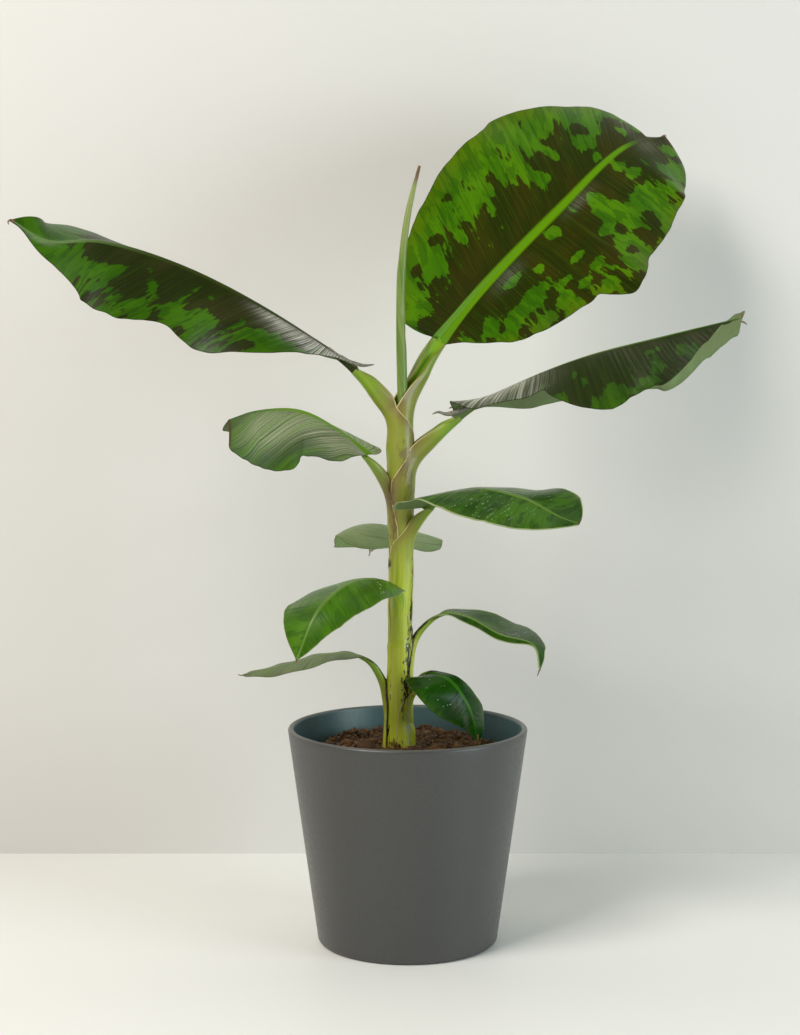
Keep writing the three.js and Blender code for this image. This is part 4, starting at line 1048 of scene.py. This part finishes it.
def blade_rows(leaf, seed):
    """Both sides of the sheet as rows of ring points, with the numbers its material reads. The
    sheet is moved along its normal by the pleats, then thickened: grooved over the midrib, with a
    round keel under it."""
    length = leaf["run"][-1] - leaf["stalk"]
    t = np.linspace(0, 1, int(length / BLADE_ROW) + 1)
    u = 0.4 * t + 0.6 * (1 - np.cos(np.pi * t)) / 2
    sink = leaf.get("sink", BLADE_SINK)
    distance = leaf["stalk"] - sink + (length + sink) * u
    spots = leaf_frame(leaf, distance)
    left, left_out, left_share = blade_half(leaf, "left", -1, spots, u, seed)
    right, right_out, right_share = blade_half(leaf, "right", 1, spots, u, seed + 1)
    sheet, out, share = (np.concatenate([a[:, :0:-1], b], 1) for a, b in (
        (left, right), (-left_out, right_out), (left_share, right_share)))
    onward = np.gradient(sheet, axis=0)
    onward[0] = spots[1][0]
    normal = unit(np.cross(np.gradient(sheet, axis=1), onward))
    rib = rib_radius(leaf, u)[:, None]
    spacing, depth = leaf["pleats"]
    along = u[:, None] * length + 0 * out
    side = (out > 0).astype(int)
    lean = np.array(leaf.get("lean", (0.45, 0.45)))[side] * (0.35 + 0.65 * smooth(u / 0.25))[:, None]
    vein = along - lean * np.abs(out)
    jitter = lumps(along / 17, np.sign(out) * 3.3, seed + 2)
    jitter = jitter + 0.5 * lumps(along / 6, np.sign(out) * 5.1, seed + 3)
    pleat = np.sin(2 * np.pi * (vein / spacing + 0.9 * jitter))
    strength = smooth(share / 0.1) * (1 - 0.55 * share) * smooth((1 - share) / 0.1)
    strength = strength * (0.55 + 0.45 * lumps(along / 23, out / 40, seed + 4))
    sheet = sheet + normal * (pleat * depth * strength)[..., None]
    ridge = np.sqrt(np.clip(1 - (out / rib) ** 2, 0, 1))
    shoulder = np.sin(np.pi * np.clip(np.abs(out) / rib, 0, 1))
    fillet = BLADE_FILLET * np.exp(-np.maximum(np.abs(out) - rib, 0) / 2.5)
    body = BLADE_HALF * (1 + fillet) * (1 - 0.35 * share)
    groove = 0.3 * (1 - u)[:, None] ** 2 + 0.02
    above = sheet + normal * (body + rib * (0.14 * shoulder - groove * ridge))[..., None]
    keel = np.maximum(0.9 * rib - body, 0.2 * body) * ridge
    below = sheet - normal * (body + keel)[..., None]
    near, far = np.array(leaf.get("dark", PLAIN_GREEN)).T
    margin = np.where(side > 0, out[:, -1:], -out[:, :1]) - np.abs(out)
    rib_ends = smooth((leaf.get("rib_end", 2) + 0.05 - u) / 0.1)[:, None]
    rib_reach = 1.12 * leaf.get("rib_shown", 1) * rib + 0.5
    rib_seen = smooth((rib_reach - np.abs(out)) / (0.2 * rib + 0.4)) * rib_ends
    blotch = near[side] + (far[side] - near[side]) * share + spots_on(leaf.get("patches", []), along, out)
    # Painted sheen: these spots say how much pale grey is laid on where glossy reflection shows.
    bloom = np.clip(spots_on(leaf["bloom"], along, out), 0, 1)
    onward = u[:, None] + 0 * out
    values = {
        "out": ringed(share), "margin": ringed(margin / leaf.get("edge", 0.9)), "rib": ringed(rib_seen),
        "blotch": ringed(blotch), "bloom": ringed(bloom), "onward": ringed(onward),
        "under": ringed(0 * out, 0 * out + 1), "tip": ringed(smooth((onward - 0.985) / 0.015)),
    }
    uv = np.stack([ringed(vein) * MM + 0.61 * seed, ringed(out) * MM], -1).reshape(-1, 2)
    return ringed(above, below), values, uv, (above, normal, out, share, u)


# Leaf skin: the blotches, veins, painted sheen, edge and midrib of a blade's colour, in one group
# for all blades. Blotches follow the veins, with ragged ends. The sheen is painted: a pale grey
# colour, streaked along the fine veins, laid on where glossy reflection shows.
leaf_skin, given, out = new_group(
    "leaf_skin",
    {"Green": ("Color", (0.04, 0.135, 0.0, 1)), "Fresh": ("Color", (0.075, 0.2, 0.0, 1)),
     "Dark": ("Color", (0.018, 0.024, 0.0, 1)), "Brown": ("Color", (0.032, 0.027, 0.0, 1)),
     "Under": ("Color", (0.15, 0.22, 0.09, 1)), "Bloom": ("Color", (0.36, 0.35, 0.27, 1)),
     "Midrib": ("Color", (0.115, 0.27, 0.0, 1)), "Midrib_tip": ("Color", (0.1, 0.25, 0.002, 1)),
     "Deep": ("Color", (0.018, 0.07, 0.0, 1)), "Margin": ("Color", (0.1, 0.13, 0.0, 1)),
     "Edge": ("Color", (0.02, 0.02, 0.002, 1)), "Matt": ("Float", 0.3)},
    {"Color": "Color", "Roughness": "Float", "Height": "Float"},
)
way = way_along(leaf_skin)
patch, ragged, shade, veins, wide_veins, mottle = (
    noise(stretched(way, across, onward), 1.0, detail, rough) for across, onward, detail, rough in (
        (70, 27, 3.0, 0.6), (560, 40, 3.0, 0.6), (30, 16, 2.0, 0.5), (1400, 12, 3.0, 0.7),
        (330, 5, 2.0, 0.6), (85, 34, 3.0, 0.6)))
field = plus(patch, times(maths("SUBTRACT", ragged, 0.5), 0.2))
blotch = ramp(plus(field, read(leaf_skin, "blotch")), 0.49, 0.52)
outer = times(ramp(read(leaf_skin, "out"), 0.75, 1.0), ramp(mottle, 0.4, 0.6, 0.6, 0.2))
# Painted sheen: the sheen spots, streaked by the fine veins, lay on a pale grey where glossy reflection
# shows.
painted_sheen_streaks = times(read(leaf_skin, "bloom"), ramp(veins, 0.42, 0.62, 0.12, 1.0))
upper = coats(given["Green"], (ramp(shade, 0.35, 0.65), given["Fresh"]),
              (ramp(mottle, 0.5, 0.55, 0.0, 0.5), given["Deep"]), (outer, given["Margin"]),
              (blotch, blend(ramp(shade, 0.4, 0.65), given["Dark"], given["Brown"])),
              (ramp(veins, 0.52, 0.7, 0.0, 0.34), given["Fresh"]),
              (ramp(wide_veins, 0.3, 0.48, 0.35, 0.0), (0.008, 0.014, 0.001, 1)),
              (times(painted_sheen_streaks, ramp(wide_veins, 0.35, 0.55, 0.4, 1.0)), given["Bloom"]))
lower = coats(given["Under"], (ramp(veins, 0.35, 0.65, 0.0, 0.3), (0.08, 0.14, 0.035, 1)),
              (times(blotch, 0.22), (0.12, 0.1, 0.06, 1)))
midrib = coats(given["Midrib"], (ramp(read(leaf_skin, "onward"), 0.55, 0.95), given["Midrib_tip"]),
               (ramp(ragged, 0.3, 0.7, 0.0, 0.2), given["Fresh"]))
under = read(leaf_skin, "under")
skin = coats(upper, (under, lower), (read(leaf_skin, "rib"), midrib),
             (ramp(read(leaf_skin, "margin"), 0.8, 1.2, 0.85, 0.0), given["Edge"]),
             (read(leaf_skin, "tip"), (0.09, 0.05, 0.02, 1)))
gloss = plus(given["Matt"], ramp(shade, 0.2, 0.8, 0.0, 0.1))
leaf_skin.links.new(skin, out["Color"])
leaf_skin.links.new(plus(gloss, times(under, 0.25)), out["Roughness"])
leaf_skin.links.new(plus(times(veins, 0.5), wide_veins), out["Height"])


def blade_material(name, specular, **colours):
    """A blade's material: the leaf skin in this leaf's colours over fine vein relief."""
    material, tree, shader = new_material(name)
    skin = use(leaf_skin, tree, **colours)
    wire(shader, skin["Color"], skin["Roughness"], skin["Height"], 0.5, 0.0006)
    shader["Specular IOR Level"].default_value = specular
    return material


def palette(base, **colours):
    """A copy of a palette with some colours set anew. Each is three numbers, and 1 is added."""
    return {**base, **{key: (*colour, 1) for key, colour in colours.items()}}


LOW_LEAF = palette({}, Green=(0.036, 0.11, 0.003), Fresh=(0.07, 0.19, 0.003), Deep=(0.02, 0.07, 0.002),
                   Midrib=(0.11, 0.2, 0.03), Midrib_tip=(0.09, 0.18, 0.02), Margin=(0.06, 0.13, 0.005),
                   Edge=(0.2, 0.24, 0.08))
DEEP_LEAF = palette(LOW_LEAF, Green=(0.012, 0.045, 0.001), Fresh=(0.028, 0.085, 0.002),
                    Deep=(0.006, 0.026, 0.001), Edge=(0.32, 0.38, 0.17))
LIT_LEAF = palette(DEEP_LEAF, Green=(0.022, 0.075, 0.005), Fresh=(0.045, 0.13, 0.005))
GLOSSY_LEAF = palette(LOW_LEAF, Green=(0.005, 0.036, 0.001), Fresh=(0.014, 0.07, 0.002),
                      Deep=(0.003, 0.022, 0.001), Midrib=(0.03, 0.12, 0.005), Midrib_tip=(0.02, 0.09, 0.003),
                      Edge=(0.03, 0.09, 0.01))
# Leaf_6's palette is painted light: its greens and underside are about twice as bright as the leaf's own
# colour, standing in for the light that passes through this rear leaf, which faces away from the lamps.
PAINTED_LIGHT_LEAF = palette(LOW_LEAF, Green=(0.3, 0.42, 0.17), Fresh=(0.36, 0.48, 0.2), Deep=(0.24, 0.35, 0.13),
                    Under=(0.36, 0.5, 0.22))
DULL_LEAF = palette(LOW_LEAF, Green=(0.06, 0.1, 0.02), Fresh=(0.1, 0.16, 0.03), Deep=(0.035, 0.06, 0.01),
                    Under=(0.13, 0.18, 0.06), Edge=(0.08, 0.08, 0.02))
# HIGH_LEAF, RIGHT_LEAF and MUTED_LEAF give the painted sheen its pale grey, which stands in for glossy
# reflection.
HIGH_LEAF = palette({}, Green=(0.022, 0.08, 0.0), Fresh=(0.04, 0.125, 0.001), Deep=(0.013, 0.045, 0.001),
                    Dark=(0.014, 0.019, 0.002), Brown=(0.024, 0.024, 0.004), Midrib=(0.026, 0.032, 0.006),
                    Midrib_tip=(0.12, 0.2, 0.06), Bloom=(0.66, 0.64, 0.55), Margin=(0.04, 0.11, 0.0))
RIGHT_LEAF = palette(HIGH_LEAF, Green=(0.026, 0.07, 0.005), Fresh=(0.04, 0.105, 0.004),
                     Dark=(0.018, 0.027, 0.004), Brown=(0.03, 0.034, 0.009), Midrib=(0.1, 0.17, 0.03),
                     Midrib_tip=(0.05, 0.13, 0.01), Bloom=(0.62, 0.62, 0.5))
MUTED_LEAF = palette(RIGHT_LEAF, Green=(0.03, 0.07, 0.006), Fresh=(0.07, 0.17, 0.005),
                     Deep=(0.03, 0.05, 0.012), Dark=(0.03, 0.04, 0.013), Brown=(0.055, 0.055, 0.024),
                     Midrib=(0.13, 0.26, 0.01), Midrib_tip=(0.06, 0.1, 0.03), Bloom=(0.46, 0.45, 0.29))
BLADE_LOOKS = {        # material, strength of the gloss, roughness, palette
    "leaf_1": ("top_blade", 0.14, 0.28, {}), "leaf_2": ("left_blade", 0.14, 0.3, HIGH_LEAF),
    "leaf_3": ("right_blade", 0.16, 0.32, RIGHT_LEAF), "leaf_4": ("muted_blade", 0.16, 0.36, MUTED_LEAF),
    "leaf_5": ("deep_blade", 0.2, 0.22, LIT_LEAF), "leaf_6": ("painted_light_blade", 0.2, 0.45, PAINTED_LIGHT_LEAF),
    "leaf_7": ("low_blade", 0.24, 0.22, LOW_LEAF), "leaf_8": ("dull_blade", 0.2, 0.4, DULL_LEAF),
    "leaf_9": ("dark_blade", 0.2, 0.24, DEEP_LEAF), "leaf_10": ("glossy_blade", 0.18, 0.16, GLOSSY_LEAF),
}
sheets = {}
for number, (name, leaf) in enumerate(LEAVES.items()):
    key, gloss, matt, colours = BLADE_LOOKS[name]
    blade_ring, blade_values, blade_uv, sheets[name] = blade_rows(leaf, 50 + 7 * number)
    make_piece(name.replace("leaf", "blade"), *loft(blade_ring),
               blade_material(key, gloss, Matt=matt, **colours), "blade", [name], blade_values, blade_uv)


# Dry tips. Most leaves end in a thread that has dried to a brown curl, and the base lobes of two
# upper leaves end in grey withered tails. They are the leaf's own tissue, shrunken in place.
DRY_TIPS = [        # path, and the radius at its middle
    ([(288, 245, 857), (293, 248, 862), (296, 249, 863), (297, 249, 861)], 1.3),
    ([(-396, -28, 747), (-401, -28, 749), (-403, -28, 747), (-402, -28, 744)], 1.2),
    ([(333, -10, 645), (339, -10, 649), (341, -10, 653), (341, -10, 658)], 1.4),
    ([(337, -10, 648), (343, -10, 647), (347, -10, 644)], 1.2),
    ([(-38, 170, 400), (-42, 176, 394), (-42, 178, 389), (-44, 178, 385)], 1.1),
    ([(-107, -128, 322), (-109, -130, 317), (-108, -131, 313)], 0.9),
    ([(-166, -22, 285), (-172, -22, 284), (-176, -22, 285)], 0.9),
    ([(135, -40, 297), (134, -41, 291), (132, -41, 286)], 0.9),
    ([(71, -42, 226), (71, -42, 220), (68, -42, 216)], 1.8),
]
GREY_TAILS = [
    ([(-82, -8, 619), (-68, -10, 610), (-57, -11, 606), (-47, -11, 603), (-40, -10, 603),
      (-33, -10, 604)], 2.9),
    ([(62, -10, 560), (52, -11, 556), (40, -10, 553), (31, -9, 555), (24, -8, 552)], 2.4),
    ([(58, 2, 564), (49, 4, 561), (42, 5, 558)], 1.8),
]
TIP_AROUND = 10
TIP_ROWS = 16


def tapers(rows, seed):
    """Bent tapers in one mesh: each runs along a curve with radius r (1 - t^2)^0.7, flattened by
    half and roughened by smooth random lumps, and is closed at both ends."""
    points, faces, t = [], [], np.linspace(0, 0.97, TIP_ROWS)
    for k, (path, radius) in enumerate(rows):
        line, run = curve_through(path)
        place = columns_at(t * run[-1], run, line)
        along = unit(np.gradient(place, axis=0))
        side = unit(np.cross(along, [0.0, -1.0, 0.2]))
        up = np.cross(side, along)
        turn = (np.arange(TIP_AROUND) + 0.5) * 2 * np.pi / TIP_AROUND
        rough = 1 + 0.35 * lumps(t[:, None] * 6 + 0 * turn, turn[None, :] * 0.9 + 0 * t[:, None], seed + k)
        size = (radius * (1 - t**2) ** 0.7)[:, None] * rough
        ring_points, ring_faces = loft(round_line(place, side, up, size, 0.5 * size, turn))
        faces += [part + len(points) * TIP_AROUND * TIP_ROWS for part in ring_faces]
        points.append(ring_points)
    return np.vstack(points), [np.vstack(faces)]


def withered_material(name, low, high):
    """Dead leaf tissue: two tones mixed by fibres, matt."""
    material, tree, shader = new_material(name)
    grains = use(speckle, tree, Vector=object_place(tree), Fine=900.0, Coarse=420.0)
    tone = ramp(grains["Patch"], 0.35, 0.65)
    wire(shader, blend(tone, low, high), ramp(grains["Grain"], 0.0, 1.0, 0.5, 0.8))
    return material


make_piece("dry_tips", *tapers(DRY_TIPS, 41),
           withered_material("dry_tip", (0.09, 0.045, 0.015, 1), (0.26, 0.15, 0.05, 1)), "blade")
make_piece("grey_tails", *tapers(GREY_TAILS, 42),
           withered_material("grey_tail", (0.1, 0.1, 0.07, 1), (0.24, 0.22, 0.17, 1)), "blade")


# Water drops. The plant has just been sprayed: small domes of water stand on the lower leaves in
# rows between the veins. The domes are opaque, and their pale green-white colour is a painted glint
# standing in for the light that clear water reflects.
DROPS = [        # leaf, how many, share of the length, share of the half's width, half, radius
    ("leaf_5", 80, (0.46, 0.8), (0.1, 0.9), 1, (0.25, 0.5)),
    ("leaf_5", 14, (0.5, 0.8), (0.1, 0.7), -1, (0.22, 0.45)),
    ("leaf_7", 16, (0.06, 0.3), (0.15, 0.8), 1, (0.4, 0.8)),
    ("leaf_7", 10, (0.1, 0.4), (0.15, 0.8), -1, (0.3, 0.7)),
    ("leaf_9", 10, (0.3, 0.7), (0.15, 0.8), -1, (0.3, 0.5)),
    ("leaf_10", 12, (0.3, 0.6), (0.2, 0.7), 1, (0.3, 0.6)),
]
DROP_AROUND = 8
DROP_HEIGHT = 0.6        # as a share of the radius
DROP_RINGS = [-25, 8, 45]       # how far up the dome each ring lies, in degrees
DROP_ROW_STEP = 4        # drops lie on every fourth row of the sheet


def drops(rows, seed):
    """Domes on the sheets: three rings of radius r cos a at height 0.6 r sin a and a top point,
    sunk a little, each set on a grid point of the sheet along its normal."""
    dice = np.random.default_rng(seed)
    tilt = np.radians(DROP_RINGS)[:, None]
    k = np.arange(DROP_AROUND)
    turn, after = k * 2 * np.pi / DROP_AROUND, (k + 1) % DROP_AROUND
    level = DROP_HEIGHT * np.sin(tilt)
    dome = np.stack([np.cos(tilt) * np.cos(turn), np.cos(tilt) * np.sin(turn), level + 0 * turn], -1)
    dome = np.vstack([dome.reshape(-1, 3), [0, 0, DROP_HEIGHT], [0, 0, level[0, 0]]])
    rings = ring_quads([0, DROP_AROUND], DROP_AROUND)
    top = np.stack([2 * DROP_AROUND + k, 2 * DROP_AROUND + after, 0 * k + 3 * DROP_AROUND], 1)
    caps = np.vstack([top, np.stack([after, k, 0 * k + 3 * DROP_AROUND + 1], 1)])
    points, quads, fans, count = [], [], [], 0
    for name, number, spread_u, spread_share, side, sizes in rows:
        above, normal, out, share, u = sheets[name]
        row = np.argmin(np.abs(u[:, None] - dice.uniform(*spread_u, number)), axis=0)
        row -= row % DROP_ROW_STEP
        wanted = dice.uniform(*spread_share, number)
        column = np.argmin(np.abs(share[row] - wanted[:, None]) + 9 * (np.sign(out[row]) != side), axis=1)
        size = dice.uniform(*sizes, number)[:, None, None]
        centre, up = above[row, column], normal[row, column]
        right = unit(np.cross(up, [0.3, 0.9, 0.1]))
        axes = np.stack([right, np.cross(up, right), up], 1)
        points.append((centre[:, None] + size * np.einsum("ij,njk->nik", dome, axes)).reshape(-1, 3))
        first = (count + np.arange(number))[:, None, None] * len(dome)
        quads.append((rings[None] + first).reshape(-1, 4))
        fans.append((caps[None] + first).reshape(-1, 3))
        count += number
    return np.vstack(points), [np.vstack(quads), np.vstack(fans)]


water, water_tree, water_shader = new_material("water")
# Painted glint: the drops' pale green-white stands in for the light that clear water reflects.
painted_glint_tone = blend(noise(object_place(water_tree), 300.0), (0.3, 0.42, 0.28, 1), (0.62, 0.7, 0.58, 1))
water_tree.links.new(painted_glint_tone, water_shader["Base Color"])
water_shader["Roughness"].default_value = 0.06
make_piece("water_drops", *drops(DROPS, 43), water, "blade")


# Stage. A pale table top and the plain wall behind it, lit by a large soft lamp from the upper left,
# a weaker one from the right, and an even pale sky. The camera stands two metres in front.
CAMERA_PLACE = (-0.008, -2.0, 0.623)
CAMERA_PITCH = 84.93
CAMERA_LENS = 67.41
TABLE_FRONT = -4
TABLE_BACK = 0.34
WALL_TOP = 3.0
STAGE_HALF = 3.5


def stage_material(name, colour, roughness):
    """Plain matt paint, clear when seen from behind so that the plant's back can be looked at."""
    material, tree, shader = new_material(name)
    shader["Base Color"].default_value = colour
    shader["Roughness"].default_value = roughness
    surface = tree.nodes["Material Output"].inputs["Surface"]
    clear = add(tree, "ShaderNodeBsdfTransparent").outputs[0]
    one_sided = add(tree, "ShaderNodeMixShader", {
        0: add(tree, "ShaderNodeNewGeometry").outputs["Backfacing"],
        1: surface.links[0].from_socket, 2: clear,
    })
    tree.links.new(one_sided.outputs[0], surface)
    return material


def stage_sheet(name, profile, material):
    """A profile of (y, z) rows drawn out sideways."""
    points = [(side * STAGE_HALF, y, z) for y, z in profile for side in (-1, 1)]
    faces = [(2 * k, 2 * k + 1, 2 * k + 3, 2 * k + 2) for k in range(len(profile) - 1)]
    mesh = bpy.data.meshes.new(name)
    mesh.from_pydata(points, [], faces)
    mesh.materials.append(material)
    sheet = bpy.data.objects.new(name, mesh)
    bpy.context.scene.collection.objects.link(sheet)


stage_sheet("table_top", [(TABLE_FRONT, 0), (TABLE_BACK, 0)],
            stage_material("table", (0.87, 0.86, 0.82, 1), 0.5))
stage_sheet("wall", [(TABLE_BACK, 0), (TABLE_BACK, WALL_TOP)],
            stage_material("wall", (0.7, 0.68, 0.645, 1), 0.8))


def lamp(name, place, aim, size, power, colour):
    """A square area lamp that looks at a point."""
    light = bpy.data.lights.new(name, "AREA")
    light.size, light.energy, light.color = size, power, colour
    made = bpy.data.objects.new(name, light)
    made.location = place
    look = unit(np.array(aim, float) - np.array(place, float))
    made.rotation_euler = (np.pi - np.arccos(look[2]), 0, np.arctan2(look[1], look[0]) - np.pi / 2)
    bpy.context.scene.collection.objects.link(made)


lamp("key_lamp", (-1.5, -1.5, 2.3), (0, 0, 0.45), 1.3, 68, (1.0, 0.97, 0.91))
lamp("fill_lamp", (2.1, -1.2, 0.8), (0, 0, 0.4), 1.2, 30, (0.82, 0.96, 1.0))
world = bpy.data.worlds.new("sky")
world.use_nodes = True
sky = world.node_tree.nodes["Background"].inputs
sky["Color"].default_value, sky["Strength"].default_value = (0.95, 0.97, 1.0, 1), 0.2
bpy.context.scene.world = world
bpy.context.scene.view_settings.view_transform = "Standard"

camera_data = bpy.data.cameras.new("camera")
camera_data.lens = CAMERA_LENS
camera = bpy.data.objects.new("camera", camera_data)
camera.location = CAMERA_PLACE
camera.rotation_euler = (np.radians(CAMERA_PITCH), 0, 0)
bpy.context.scene.collection.objects.link(camera)
bpy.context.scene.camera = camera
